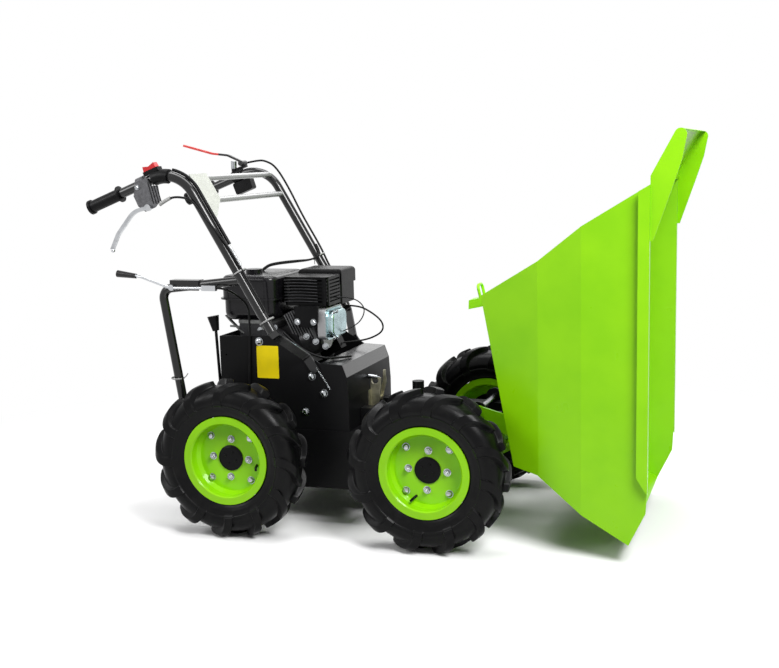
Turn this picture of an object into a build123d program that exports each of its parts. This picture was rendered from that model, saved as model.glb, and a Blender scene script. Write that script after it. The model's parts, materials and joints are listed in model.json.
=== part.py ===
"""Walk-behind four-wheel site dumper: petrol engine, upright handlebars, tipping skip.

Units are millimetres. Working frame: x forward with 0 at the rear axle, y to the
operator's left with 0 on the mid-plane, z up with 0 on the ground. Every node is
moved back by X_MID on export, so that the stored origin lies below the middle of
the machine's length. The skip is drawn fully tipped, which is its rest pose.
"""
from build123d import *
import math
import os

os.makedirs("parts", exist_ok=True)

# ------------------------------------------------------------------ driving sizes
X_MID = 362.0             # middle of the machine's length, ahead of the rear axle
SEAT = 0.2                # gap between rigid pieces that bear on curved faces
RUN_GAP = 0.05            # radial clearance of every running fit
SHEET = 3.0               # body panels

WHEELBASE = 533.0
TRACK = 642.0             # between the wheels' middle planes
TYRE_R = 206.0            # over the tread cleats
TYRE_W = 110.0
RIM_W = 78.0              # over the flanges
RIM_FLANGE_R = 115.5
RIM_SEAT_R = 101.0
RIM_T = 3.0
DISC_OUT = 1.7            # wheel disc's outer face, outwards from the middle plane
HUB_CAP_R = 33.5
SHAFT_R = 12.5
HOUSING_R = 26.0

TUB_Y = 176.0             # half width of the lower box
TUB_BACK, TUB_FRONT = -95.0, 300.0
TUB_LOW, TUB_TOP = 97.0, 254.0
TUB_T = 4.0
BAY_TOP = 500.0
BAY_NOSE_X, BAY_NOSE_Z = 256.0, 431.0
BAY_CHIN_X, BAY_CHIN_Z = 268.0, 398.0
FRONT_BOX_Y = 100.0
FRONT_BOX_END = WHEELBASE + 77.0
FRONT_BOX_LOW, FRONT_BOX_TOP = 112.0, 261.0
RAIL_IN, RAIL_OUT = 50.0, 90.0
RAIL_TOP = 301.0
RAIL_END = WHEELBASE + 123.0
RAIL_T = 3.0

HINGE_X, HINGE_Z = WHEELBASE + 68.0, 310.0
STOP_X = WHEELBASE - 123.0           # rest that the lowered skip comes down on
HINGE_PIN_R = 8.0
EAR_T = 6.0
LUG_T = 8.0
LUG_GAP = 6.0             # between a hinge ear and the skip's lug beside it

BAR_Y = 267.0             # half spacing of the handlebar tubes
BAR_R = 13.0
BAR_BEND = 90.0
BAR_TOP_X, BAR_TOP_Z = -142.4, 951.9      # corner that the bend rounds off
BAR_FOOT_X, BAR_FOOT_Z = 104.0, 529.0
GRIP_RISE = math.radians(20.9)
GRIP_END = 284.0          # from the bend's corner to the end of the grip
GRIP_LENGTH = 100.0
GRIP_R = 16.0
CROSS_R = 8.0
CROSS_Z = (922.0, 864.0)

REAR_TUBE_R = 12.0
CRANK_X, CRANK_Z = 10.0, 426.0
ENGINE_BASE = 320.0
LEAN = math.radians(26.0)  # the cylinder's axis above level

SKIP_T = 3.0
# side view of the skip, tipped: distance ahead of the hinge and height, from the rim
# down to the floor, then out to the lip; and its plan: distance ahead and half width
SKIP_REAR = [(HINGE_X + ahead, z) for ahead, z in ((465, 897), (305, 802), (195, 717), (40, 625))]
SKIP_FRONT = [(HINGE_X + ahead, z) for ahead, z in ((128, 206), (193, 194), (305, 111), (420, 49))]
SKIP_SIDE = [(HINGE_X + ahead, y) for ahead, y in ((40, 203), (195, 265), (305, 295), (465, 315))]
LIP_TOP = 141.0           # height at which the lip's sloping sides meet the rim
STRIP_OUT = 13.0          # how far the rim's turned strip stands out
STRIP_BACK = 26.0         # how far it is turned back along the side
REST_GAP = 5.0            # left over the stop when the skip is down
STOP_TOP = 364.0


# ------------------------------------------------------------------ helpers
def block(x0, x1, y0, y1, z0, z1):
    """A square block between two corners."""
    centre = ((x0 + x1) / 2, (y0 + y1) / 2, (z0 + z1) / 2)
    return Pos(*centre) * Box(abs(x1 - x0), abs(y1 - y0), abs(z1 - z0))


def side_plate(outline, y0, y1):
    """A plate whose outline is given as x and z, running from y0 to y1."""
    face = Face(Wire.make_polygon([Vector(x, y0, z) for x, z in outline], close=True))
    return Solid.extrude(face, Vector(0, y1 - y0, 0))


def rod(start, end, radius):
    """A round bar between two points."""
    start, end = Vector(*start), Vector(*end)
    plane = Plane(origin=start, z_dir=(end - start).normalized())
    return Solid.make_cylinder(radius, (end - start).length, plane)


def collar(start, end, radius, bore):
    """A round collar with a through bore."""
    return rod(start, end, radius) - rod(start, end, bore)


def bent(points, radius):
    """The centre line through the points, with each corner rounded."""
    if len(points) == 2:
        return Line(*points)
    return FilletPolyline(*[Vector(*p) for p in points], radius=radius)


def along(path, section):
    """A section swept along a path that it starts square to."""
    return sweep(Plane(origin=path @ 0, z_dir=path % 0) * section, path=path)


def tube(points, r, bend):
    """A solid round bar bent along the points."""
    return along(bent(points, bend), Circle(r))


def strap(points, wide, thick, bend, side=(0, 1, 0)):
    """A flat bar bent along the points; its width lies along side."""
    path = bent(points, bend)
    start = Plane(origin=path @ 0, x_dir=Vector(*side), z_dir=path % 0)
    return sweep(start * Rectangle(wide, thick), path=path)


def tapered(start, end, start_r, end_r):
    """A round bar that narrows from one point to another."""
    start, end = Vector(*start), Vector(*end)
    plane = Plane(origin=start, z_dir=(end - start).normalized())
    return Solid.make_cone(start_r, end_r, (end - start).length, plane)


def turned(outline, centre, outward):
    """Turn an (offset, radius) outline about a wheel's axle; offset runs outwards."""
    x, y, z = centre
    points = [Vector(x, y + outward * o, z + r) for o, r in outline]
    return revolve(Face(Wire.make_polygon(points, close=True)), Axis(centre, (0, 1, 0)))


def beside(path, distance):
    """The open path moved to its left by a distance, its corners mitred."""
    lines = []
    for (x0, z0), (x1, z1) in zip(path, path[1:]):
        long = math.hypot(x1 - x0, z1 - z0)
        dx, dz = (x1 - x0) / long, (z1 - z0) / long
        lines.append(((x0 - dz * distance, z0 + dx * distance), (dx, dz), long))
    moved = [lines[0][0]]
    for (p, u, _), (q, v, _) in zip(lines, lines[1:]):
        share = ((q[0] - p[0]) * v[1] - (q[1] - p[1]) * v[0]) / (u[0] * v[1] - u[1] * v[0])
        moved.append((p[0] + u[0] * share, p[1] + u[1] * share))
    (x, z), (dx, dz), long = lines[-1]
    return moved + [(x + dx * long, z + dz * long)]


def folded(path, thick, y0, y1):
    """A sheet folded along a side-view path; its thickness lies to the path's left if positive."""
    return side_plate(path + beside(path, thick)[::-1], y0, y1)


def joined(*shapes):
    total = shapes[0]
    for shape in shapes[1:]:
        total = total + shape
    return total


def toward(start, angle, distance):
    """The x and z reached from start by going a distance at an angle above level."""
    return start[0] + distance * math.cos(angle), start[1] + distance * math.sin(angle)


NODES = {}


def keep(name, *shapes):
    NODES[name] = shapes


# ------------------------------------------------------------------ wheels
def tyre_outline():
    """Half a tyre section, mirrored: bead, sidewall bulge, shoulder and crown."""
    bead = RIM_W / 2 - RIM_T - SEAT
    bulge = TYRE_W / 2
    half = [(bead, RIM_SEAT_R + SEAT), (bead, RIM_FLANGE_R + 2), (bulge - 8, 130), (bulge, 156),
            (bulge, TYRE_R - 30), (bulge - 6, TYRE_R - 10), (bulge - 19, TYRE_R - 1)]
    return half + [(0, TYRE_R)] + [(-o, r) for o, r in reversed(half)]


def rim_outline():
    """A split rim: two pressed dishes meeting in one flat disc."""
    out, low = RIM_W / 2, RIM_SEAT_R - RIM_T
    disc_in = DISC_OUT - 4.5
    bore = HUB_CAP_R + 0.1
    return [(-out, RIM_FLANGE_R), (-out, low), (-out + RIM_T, low - 3), (disc_in - 11, low - 3),
            (disc_in, low - 12), (disc_in, bore), (DISC_OUT, bore), (DISC_OUT, low - 11),
            (DISC_OUT + 10, low - 3), (out - RIM_T, low - 3), (out, low), (out, RIM_FLANGE_R),
            (out - RIM_T, RIM_FLANGE_R), (out - RIM_T, RIM_SEAT_R), (-out + RIM_T, RIM_SEAT_R),
            (-out + RIM_T, RIM_FLANGE_R)]


HUB_FACE = DISC_OUT - 4.5            # hub flange against the disc's inner face
HUB_BACK = -40.0                     # inner end of the hub's boss
SHAFT_IN = TRACK / 2 - 120.0         # inner end of a half shaft, from the mid-plane


def hub_outline():
    """Cap through the disc, bolting flange behind it, boss and half shaft."""
    return [(DISC_OUT + 5, 0), (DISC_OUT + 5, HUB_CAP_R - 5), (DISC_OUT + 3, HUB_CAP_R),
            (HUB_FACE, HUB_CAP_R), (HUB_FACE, 65), (HUB_FACE - 10, 65), (HUB_FACE - 10, 30),
            (HUB_BACK, 26), (HUB_BACK, SHAFT_R), (SHAFT_IN - TRACK / 2, SHAFT_R),
            (SHAFT_IN - TRACK / 2, 0)]


for side, outward in (("right", -1), ("left", 1)):
    for end, axle_x in (("rear", 0.0), ("front", WHEELBASE)):
        centre = (axle_x, outward * TRACK / 2, TYRE_R)
        keep(f"tyre_{end}_{side}", turned(tyre_outline(), centre, outward))
        keep(f"rim_{end}_{side}", turned(rim_outline(), centre, outward))
        keep(f"hub_{end}_{side}", turned(hub_outline(), centre, outward))

# ------------------------------------------------------------------ lower boxes and axle drives
HOUSING_END = TRACK / 2 + HUB_BACK - 6.0       # leaves the hub's boss free to turn


def axle_drive(x, half_width, low, high):
    """A gearcase with a bearing tube each side; each tube's bore takes a half shaft."""
    case = fillet(block(x - 62, x + 62, -half_width, half_width, low, high).edges().filter_by(Axis.Y), 14)
    for s in (-1, 1):
        case = case + rod((x, s * (half_width - 5), TYRE_R), (x, s * HOUSING_END, TYRE_R), HOUSING_R)
    for s in (-1, 1):
        bore_from, bore_to = (x, s * (SHAFT_IN - 2), TYRE_R), (x, s * (HOUSING_END + 5), TYRE_R)
        case = case - rod(bore_from, bore_to, SHAFT_R + RUN_GAP)
    return case


def open_box(x0, x1, half_width, low, high, wall, bend):
    """A folded sheet box, open at the top, with rounded upright corners."""
    outer = fillet(block(x0, x1, -half_width, half_width, low, high).edges().filter_by(Axis.Z), bend)
    inner = block(x0 + wall, x1 - wall, -half_width + wall, half_width - wall, low + wall, high + 1)
    return outer - fillet(inner.edges().filter_by(Axis.Z), bend - wall)


axle_hole = HOUSING_R + SEAT
BAY_Y = TUB_Y - TUB_T                # outer faces of the bay's side plates, inside the lower box
BAY_IN = BAY_Y - SHEET
tub = open_box(TUB_BACK, TUB_FRONT, TUB_Y, TUB_LOW, TUB_TOP, TUB_T, 8)
tub = tub + block(262, TUB_FRONT - TUB_T, -BAY_IN, BAY_IN, TUB_TOP - TUB_T, TUB_TOP)
tub = tub - rod((0, -TUB_Y - 1, TYRE_R), (0, TUB_Y + 1, TYRE_R), axle_hole)
keep("lower_box", tub)
keep("rear_axle_drive", axle_drive(0.0, 130.0, TUB_LOW + TUB_T, 300.0))

nose = open_box(TUB_FRONT, FRONT_BOX_END, FRONT_BOX_Y, FRONT_BOX_LOW, FRONT_BOX_TOP, TUB_T, 8)
nose = nose + block(TUB_FRONT + 10, FRONT_BOX_END - 10, -FRONT_BOX_Y + 3, FRONT_BOX_Y - 3,
                    FRONT_BOX_TOP - TUB_T, FRONT_BOX_TOP)
nose = nose - rod((WHEELBASE, -FRONT_BOX_Y - 1, TYRE_R), (WHEELBASE, FRONT_BOX_Y + 1, TYRE_R), axle_hole)
keep("front_box", nose)
keep("front_axle_drive", axle_drive(WHEELBASE, FRONT_BOX_Y - TUB_T - 2,
                                    FRONT_BOX_LOW + TUB_T, FRONT_BOX_TOP - TUB_T))

# ------------------------------------------------------------------ rails and hinge
EAR_IN = RAIL_OUT
EAR_OUT = EAR_IN + EAR_T
LUG_IN = EAR_OUT + LUG_GAP
LUG_OUT = LUG_IN + LUG_T
EAR_ROUND = 24.0


def hinge_ear(s):
    """An upright plate on a rail's outer face, rounded about the hinge pin."""
    foot = block(HINGE_X - 34, HINGE_X + 34, s * EAR_IN, s * EAR_OUT, FRONT_BOX_TOP + 2, FRONT_BOX_TOP + 14)
    web = block(HINGE_X - EAR_ROUND, HINGE_X + EAR_ROUND, s * EAR_IN, s * EAR_OUT, FRONT_BOX_TOP + 2, HINGE_Z)
    crown = rod((HINGE_X, s * EAR_IN, HINGE_Z), (HINGE_X, s * EAR_OUT, HINGE_Z), EAR_ROUND)
    hole = rod((HINGE_X, s * (EAR_IN - 1), HINGE_Z), (HINGE_X, s * (EAR_OUT + 1), HINGE_Z),
               HINGE_PIN_R + RUN_GAP)
    return joined(foot, web, crown) - hole


def rail(s):
    """A box-section rail, cut away on top where the hinge pin crosses it."""
    low = FRONT_BOX_TOP
    back = TUB_FRONT - 26
    body = block(back, RAIL_END, s * RAIL_IN, s * RAIL_OUT, low, RAIL_TOP)
    hollow = block(back - 1, RAIL_END + 1, s * (RAIL_IN + RAIL_T), s * (RAIL_OUT - RAIL_T),
                   low + RAIL_T, RAIL_TOP - RAIL_T)
    pin_way = rod((HINGE_X, s * (RAIL_IN - 1), HINGE_Z), (HINGE_X, s * (RAIL_OUT + 1), HINGE_Z),
                  HINGE_PIN_R + 2)
    return body - hollow - pin_way


cross_members = [block(x - 20, x + 20, -RAIL_IN, RAIL_IN, FRONT_BOX_TOP, RAIL_TOP - 6)
                 for x in (STOP_X, STOP_X + 150)]
keep("skip_rails", joined(*[joined(rail(s), hinge_ear(s)) for s in (-1, 1)], *cross_members))
keep("hinge_pin", rod((HINGE_X, -LUG_OUT - 10, HINGE_Z), (HINGE_X, LUG_OUT + 10, HINGE_Z), HINGE_PIN_R))
stop_base = block(STOP_X - 18, STOP_X + 18, -22, 22, RAIL_TOP - 6, RAIL_TOP + 22)
stop_pad = rod((STOP_X, 0, RAIL_TOP + 22), (STOP_X, 0, STOP_TOP), 16)
keep("bed_stop", joined(stop_base, stop_pad))

# ------------------------------------------------------------------ engine bay
BAY_OUTLINE = [
    (TUB_BACK + 10, TUB_TOP - 18), (TUB_BACK + 10, TUB_TOP + 1), (TUB_BACK, TUB_TOP + 1), (TUB_BACK, BAY_TOP),
    (79, BAY_TOP + 4), (194, BAY_NOSE_Z + 3), (BAY_NOSE_X, BAY_NOSE_Z), (BAY_CHIN_X, BAY_CHIN_Z),
    (272, 338), (272, TUB_TOP - 18)]
RECOIL_R = 86.0

plate = side_plate(BAY_OUTLINE, -BAY_Y, -BAY_Y + SHEET)
plate = plate - rod((-77, -BAY_Y - 1, 449), (-77, -BAY_Y + SHEET + 1, 449), 2.6)
keep("side_plate_right", plate)
plate = side_plate(BAY_OUTLINE, BAY_Y - SHEET, BAY_Y)
plate = plate - rod((-77, BAY_Y + 1, 449), (-77, BAY_Y - SHEET - 1, 449), 2.6)
plate = plate - rod((CRANK_X, BAY_Y - SHEET - 1, CRANK_Z), (CRANK_X, BAY_Y + 1, CRANK_Z), RECOIL_R + 8)
keep("side_plate_left", plate)


cover_path = [(194, BAY_NOSE_Z + 3), (BAY_NOSE_X, BAY_NOSE_Z), (BAY_CHIN_X, BAY_CHIN_Z),
              (272, 338), (272, TUB_TOP)]
keep("front_cover", folded(cover_path, -SHEET, -BAY_Y + SHEET, BAY_Y - SHEET))
keep("rear_panel", block(TUB_BACK, TUB_BACK + SHEET, -BAY_Y + SHEET, BAY_Y - SHEET, TUB_TOP, BAY_TOP))
engine_floor = block(TUB_BACK + SHEET, 272 - SHEET, -BAY_Y + SHEET, BAY_Y - SHEET,
                     ENGINE_BASE - 6, ENGINE_BASE)
keep("engine_floor", engine_floor)

# ------------------------------------------------------------------ engine
BARREL_Y = -20.0
CASE_IN, CASE_OUT = -105.0, 70.0     # crankcase, along the crankshaft


def across_cylinder(distance):
    """The plane square to the cylinder, at a distance from the crankshaft."""
    x, z = toward((CRANK_X, CRANK_Z), LEAN, distance)
    return Plane(origin=(x, BARREL_Y, z), x_dir=(0, 1, 0), z_dir=(math.cos(LEAN), 0, math.sin(LEAN)))


def slab(distance, thick, wide, high, corner):
    """A round-cornered slab square to the cylinder."""
    return extrude(across_cylinder(distance) * RectangleRounded(wide, high, corner), thick)


def crankcase():
    """Cast case: round about the crankshaft, flat base, sloped cylinder face and feet."""
    barrel_end = rod((CRANK_X, CASE_IN, CRANK_Z), (CRANK_X, CASE_OUT, CRANK_Z), 84)
    lower = block(CRANK_X - 84, CRANK_X + 78, CASE_IN, CASE_OUT, ENGINE_BASE, CRANK_Z)
    shoulder = slab(40, 56, CASE_OUT - BARREL_Y - 4, 128, 8)
    top = block(CRANK_X - 80, CRANK_X + 20, CASE_IN + 6, CASE_OUT - 6, CRANK_Z, CRANK_Z + 98)
    cover = rod((CRANK_X, CASE_IN - 12, CRANK_Z), (CRANK_X, CASE_IN, CRANK_Z), 70)
    shaft = rod((CRANK_X, 14 - BAY_IN, CRANK_Z), (CRANK_X, CASE_IN, CRANK_Z), 10)
    return joined(barrel_end, lower, shoulder, top, cover, shaft)


keep("engine_block", crankcase())

FIN_T, FIN_PITCH, FIN_COUNT = 3.0, 7.4, 8
FIN_START = 97.0
FIN_TOP = 565.0
HEAD_X = (154.0, 176.0)              # the head stands upright ahead of the sloping fins
HEAD_Z = (481.0, 566.0)
HEAD_HALF = 61.0


def finned_barrel():
    """Sloping fins cast round the barrel, trimmed to one outline, and the upright head."""
    trim = side_plate([(56, 546), (77, 559), (107, FIN_TOP), (HEAD_X[0] + 1, FIN_TOP),
                       (HEAD_X[0] + 1, 486), (130, 486), (63, 503)], BARREL_Y - 69, BARREL_Y + 69)
    fins = [slab(FIN_START + FIN_PITCH * i, FIN_T, 138, 260, 14) for i in range(FIN_COUNT)]
    core = extrude(across_cylinder(FIN_START - 0.8) * Circle(44), 66)
    web = side_plate([(78, 510), (92, 548), (HEAD_X[0] + 1, 552), (HEAD_X[0] + 1, 496)],
                     BARREL_Y - 40, BARREL_Y + 40)
    beyond = block(HEAD_X[0] + 6, 260, -200, 200, 380, 640)
    head = block(*HEAD_X, BARREL_Y - HEAD_HALF, BARREL_Y + HEAD_HALF, *HEAD_Z)
    head = fillet(head.edges().filter_by(Axis.X), 12)
    return joined(core - beyond, web, joined(*fins) & trim, head)


keep("cylinder", finned_barrel())


def rocker_box():
    """Pressed cover on the head: a flange and a dome with well rounded corners."""
    front = Plane(origin=(HEAD_X[1], BARREL_Y, sum(HEAD_Z) / 2 - 2), x_dir=(0, 1, 0), z_dir=(1, 0, 0))
    flange = extrude(front * RectangleRounded(116, 84, 16), 3)
    dome = extrude(front * RectangleRounded(106, 76, 24), 20, taper=4)
    dome = fillet(dome.faces().sort_by(Axis.X)[-1].edges(), 7)
    return joined(flange, dome)


keep("rocker_cover", rocker_box())

GUARD_X = (58.0, 185.0)
GUARD_Y = (-80.0, 22.0)
GUARD_Z = (574.0, 652.0)
GUARD_T = 2.0
SLOT_COUNT, SLOT_PITCH, SLOT_HIGH = 7, 9.5, 4.5


def louvred_guard():
    """Pressed heat guard over the silencer, slotted on its outer side and front."""
    (x0, x1), (y0, y1), (z0, z1) = GUARD_X, GUARD_Y, GUARD_Z
    shell = fillet(block(x0, x1, y0, y1, z0, z1).edges().filter_by(Axis.Z), 12)
    shell = shell - block(x0 + 8, x1 - GUARD_T, y0 + GUARD_T, y1 - GUARD_T, z0 - 1, z1 - GUARD_T)
    for i in range(SLOT_COUNT):
        z = z0 + 9 + SLOT_PITCH * i
        shell = shell - block(x0 + 16, x1 - 16, y0 - 1, y0 + GUARD_T + 1, z, z + SLOT_HIGH)
        shell = shell - block(x1 - GUARD_T - 1, x1 + 1, y0 + 16, y1 - 12, z, z + SLOT_HIGH)
    return shell


keep("muffler_guard", louvred_guard())
inner = 6.0
silencer = block(GUARD_X[0] + 14, GUARD_X[1] - inner, GUARD_Y[0] + inner, GUARD_Y[1] - inner,
                 GUARD_Z[0] + 4, GUARD_Z[1] - GUARD_T)
silencer = fillet(silencer.edges().filter_by(Axis.X), 18)
exhaust = block(100, HEAD_X[0] - 1, -95, -24, FIN_TOP + SEAT, GUARD_Z[0] - SEAT)
outlet = block(114, 146, -58, -24, FIN_TOP + SEAT, GUARD_Z[0] + 6)
shield = side_plate([(93, GUARD_Z[0] - SEAT), (162, GUARD_Z[0] - SEAT), (160, 531), (142, 517),
                     (110, 517), (93, 530)], -95, BARREL_Y - 69 - SEAT)
keep("muffler", joined(silencer, exhaust, outlet, shield))

FILTER_Y = (GUARD_Y[1] + SEAT, 128.0)
FILTER_LOW, FILTER_SPLIT, FILTER_TOP = HEAD_Z[1] + 1, 622.0, 664.0
filter_case = block(GUARD_X[0] + 4, GUARD_X[1], *FILTER_Y, FILTER_LOW, FILTER_SPLIT)
filter_lid = block(GUARD_X[0], GUARD_X[1] + 2, FILTER_Y[0], FILTER_Y[1] + 3, FILTER_SPLIT, FILTER_TOP)
filter_lid = fillet(filter_lid.faces().sort_by(Axis.Z)[-1].edges(), 12)
keep("air_filter", joined(fillet(filter_case.edges().filter_by(Axis.Z), 8), filter_lid))
keep("carburettor", block(100, 140, 52, CASE_OUT - SEAT, 500, FILTER_LOW - SEAT))

TANK_X, TANK_Y = (-116.0, 48.0), (-122.0, 104.0)
TANK_SEAM, TANK_TOP, TANK_LOW = 594.0, 657.0, 534.0


def fuel_tank():
    """Two pressed halves on a seam flange, the lower one deeper at its back, with a filler cap."""
    (x0, x1), (y0, y1) = TANK_X, TANK_Y
    upper = block(x0, x1, y0, y1, TANK_SEAM, TANK_TOP)
    upper = fillet(upper.edges().filter_by(Axis.Z), 32)
    upper = fillet(upper.faces().sort_by(Axis.Z)[-1].edges(), 14)
    bowl = fillet(block(x0 + 4, x1 - 4, y0 + 4, y1 - 4, TANK_LOW, TANK_SEAM).edges().filter_by(Axis.Z), 30)
    bowl = fillet(bowl.faces().sort_by(Axis.Z)[0].edges(), 24)
    seam = block(x0 - 6, x1 + 6, y0 - 6, y1 + 6, TANK_SEAM - 2, TANK_SEAM + 2)
    seam = fillet(seam.edges().filter_by(Axis.Z), 36)
    neck = rod((-52, -30, TANK_TOP - 2), (-52, -30, TANK_TOP + 4), 18)
    cap = rod((-52, -30, TANK_TOP + 1), (-52, -30, TANK_TOP + 11), 23)
    return joined(upper, bowl, seam, neck, cap)


keep("fuel_tank", fuel_tank())
saddle = block(-74, 24, -96, 60, CRANK_Z + 98 + SEAT, TANK_LOW - SEAT)
keep("tank_saddle", saddle)

COWL_R = 92.0


def fan_cowl():
    """Sheet cowl round the flywheel that opens towards the cylinder."""
    ring = rod((CRANK_X, CASE_OUT + SEAT, CRANK_Z), (CRANK_X, CASE_OUT + 42, CRANK_Z), COWL_R)
    duct = side_plate([toward(toward((CRANK_X, CRANK_Z), LEAN, d), LEAN + math.pi / 2, h)
                       for d, h in ((0, -70), (140, -58), (140, 62), (0, COWL_R))],
                      CASE_OUT + SEAT, CASE_OUT + 42)
    return joined(ring, duct)


keep("fan_cowl", fan_cowl())


def recoil_starter():
    """Domed starter housing with radial vents about its hub."""
    y0 = CASE_OUT + 42 + SEAT
    outline = [(0, 0), (0, RECOIL_R), (16, RECOIL_R), (38, RECOIL_R - 16), (50, RECOIL_R - 40), (51, 0)]
    dome = turned([(o, r) for o, r in outline], (CRANK_X, y0, CRANK_Z), 1)
    for i in range(8):
        vent = Pos(CRANK_X, y0 + 52, CRANK_Z) * Rot(0, i * 45.0 + 22.5, 0) * Pos(60, 0, 0) * Box(22, 30, 12)
        dome = dome - vent
    pull = block(CRANK_X + 38, CRANK_X + 68, y0 + 20, y0 + 48, CRANK_Z + 34, CRANK_Z + 48)
    return joined(dome, pull)


keep("recoil_starter", recoil_starter())

# ------------------------------------------------------------------ handlebars
def bar_point(z, s):
    """The centre of a handlebar's lower straight at height z."""
    share = (z - BAR_TOP_Z) / (BAR_FOOT_Z - BAR_TOP_Z)
    return BAR_TOP_X + share * (BAR_FOOT_X - BAR_TOP_X), s * BAR_Y, z


def grip_point(back, s):
    """The centre of a handlebar's upper straight, a distance back from the bend's corner."""
    x, z = toward((BAR_TOP_X, BAR_TOP_Z), GRIP_RISE + math.pi, back)
    return x, s * BAR_Y, z


FOOT_T = 6.0
FOOT_FALL = math.radians(-55.2)


def handlebar(s):
    """A bent tube whose flattened foot is cranked inwards and bolted to the side plate."""
    body = tube([grip_point(GRIP_END - 6, s), (BAR_TOP_X, s * BAR_Y, BAR_TOP_Z),
                 (BAR_FOOT_X, s * BAR_Y, BAR_FOOT_Z)], BAR_R, BAR_BEND)
    seat = s * (BAY_Y + FOOT_T / 2 + 0.02)
    foot = [(*toward((BAR_FOOT_X, BAR_FOOT_Z), FOOT_FALL, down), y)
            for down, y in ((-8, s * BAR_Y), (14, s * (BAR_Y - 6)), (96, seat), (143, seat))]
    across = (-math.sin(FOOT_FALL), 0, math.cos(FOOT_FALL))
    crank = strap([(x, y, z) for x, z, y in foot], 24, FOOT_T, 12, side=across)
    return joined(body, crank)


keep("handlebar_tubes", handlebar(-1), handlebar(1))
cross_end = BAR_Y - BAR_R - 0.02
crossbars = [rod((bar_point(z, -1)[0], -cross_end, z), (bar_point(z, 1)[0], cross_end, z), CROSS_R)
             for z in CROSS_Z]
keep("handlebar_crossbars", *crossbars)


def grip(s):
    """Moulded grip with a guard flange at each end, closed at the outer end."""
    start = GRIP_END - GRIP_LENGTH
    body = joined(rod(grip_point(start, s), grip_point(GRIP_END, s), GRIP_R),
                  rod(grip_point(start, s), grip_point(start + 4, s), GRIP_R + 6),
                  rod(grip_point(GRIP_END - 7, s), grip_point(GRIP_END, s), GRIP_R + 3.5))
    return body - rod(grip_point(start - 1, s), grip_point(GRIP_END - 5.9, s), BAR_R + RUN_GAP)


keep("handlebar_grips", grip(-1), grip(1))

upper, lower = [Vector(*bar_point(z, 0)) for z in CROSS_Z]
down = (lower - upper).normalized()
plate_front = Plane(origin=upper, x_dir=down, z_dir=(-down.Z, 0, down.X))
PLATE_OFF = CROSS_R + 0.05           # back of the plate, off the crossbars' middle plane
PLATE_IN, PLATE_OUT = BAR_Y - BAR_R - 4, 155.0


def name_plate():
    """Flat plate across both crossbars, cut off at a slant below the lower one."""
    outline = [(-9, -PLATE_IN), (-9, -PLATE_OUT), (68, -PLATE_OUT), (126, -PLATE_IN + 12), (126, -PLATE_IN)]
    corners = [plate_front.from_local_coords(Vector(x, y, PLATE_OFF)) for x, y in outline]
    return Solid.extrude(Face(Wire.make_polygon(corners, close=True)), plate_front.z_dir * 2)


keep("handle_plate", name_plate())


# ------------------------------------------------------------------ handlebar controls
def on_bar(back, off):
    """A point in the plane of a grip: back from the bend's corner, and off above the bar."""
    return toward(toward((BAR_TOP_X, BAR_TOP_Z), GRIP_RISE + math.pi, back), GRIP_RISE + math.pi / 2, off)


def bar_clamp(start, end, s):
    """A clamp ring round a grip straight."""
    return collar(grip_point(start, s), grip_point(end, s), BAR_R + 6, BAR_R + RUN_GAP)


ARM_OUT = BAR_Y + BAR_R + 2          # inner face of the plates that stand outside the bars
ARM_T = 4.0
CLUTCH_PIVOT = (111.0, -66.0)


def clutch_bracket():
    """Lever bracket: a clamp ring, a lug and a plate that stands outside the bar."""
    outline = [on_bar(b, o) for b, o in (
        (121, 8), (87, 8), (84, -16), (65, -23), (73, -61), (94, -72), (125, -72), (139, -52), (141, -23))]
    plate = side_plate(outline, -ARM_OUT - ARM_T, -ARM_OUT)
    lug_x, lug_z = on_bar(113, 0)
    lug = block(lug_x - 8, lug_x + 8, -ARM_OUT - 0.5, -BAR_Y - BAR_R - 1, lug_z - 8, lug_z + 8)
    return joined(bar_clamp(102, 124, -1), plate, lug)


keep("clutch_bracket", clutch_bracket())
LEVER_Y = -ARM_OUT - ARM_T - 4.2
lever_path = [on_bar(b, o) for b, o in (CLUTCH_PIVOT, (154, -60), (221, -97), (255, -128))]
lever = strap([(x, LEVER_Y, z) for x, z in lever_path], 8, 10, 55)
pivot_x, pivot_z = on_bar(*CLUTCH_PIVOT)
lever_boss = rod((pivot_x, LEVER_Y - 5, pivot_z), (pivot_x, -ARM_OUT - ARM_T - SEAT, pivot_z), 9)
keep("clutch_lever", joined(lever, lever_boss))

bar_line = bent([grip_point(GRIP_END, 0), (BAR_TOP_X, 0, BAR_TOP_Z), bar_point(BAR_FOOT_Z, 0)], BAR_BEND)
bend_start = bar_line.edges().sort_by(Axis.X)[1].trim(0.0, 0.35)


def bend_clamp(s):
    """A clamp ring that follows the start of a handlebar's bend."""
    return Pos(0, s * BAR_Y, 0) * along(bend_start, Circle(BAR_R + 6) - Circle(BAR_R + RUN_GAP))


BASE_LOW, BASE_TOP = BAR_R + 1, BAR_R + 11
switch_base = side_plate([on_bar(b, o) for b, o in (
    (50, BASE_LOW), (95, BASE_LOW), (95, BASE_TOP), (50, BASE_TOP))], -BAR_Y - 12, -BAR_Y + 12)
keep("switch_housing", joined(bend_clamp(-1), switch_base))
rocker = side_plate([on_bar(b, BASE_TOP + up) for b, up in ((55, 0), (93, 0), (91, 14), (75, 9), (57, 14))],
                    -BAR_Y - 10, -BAR_Y + 10)
keep("stop_switch", rocker)

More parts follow.
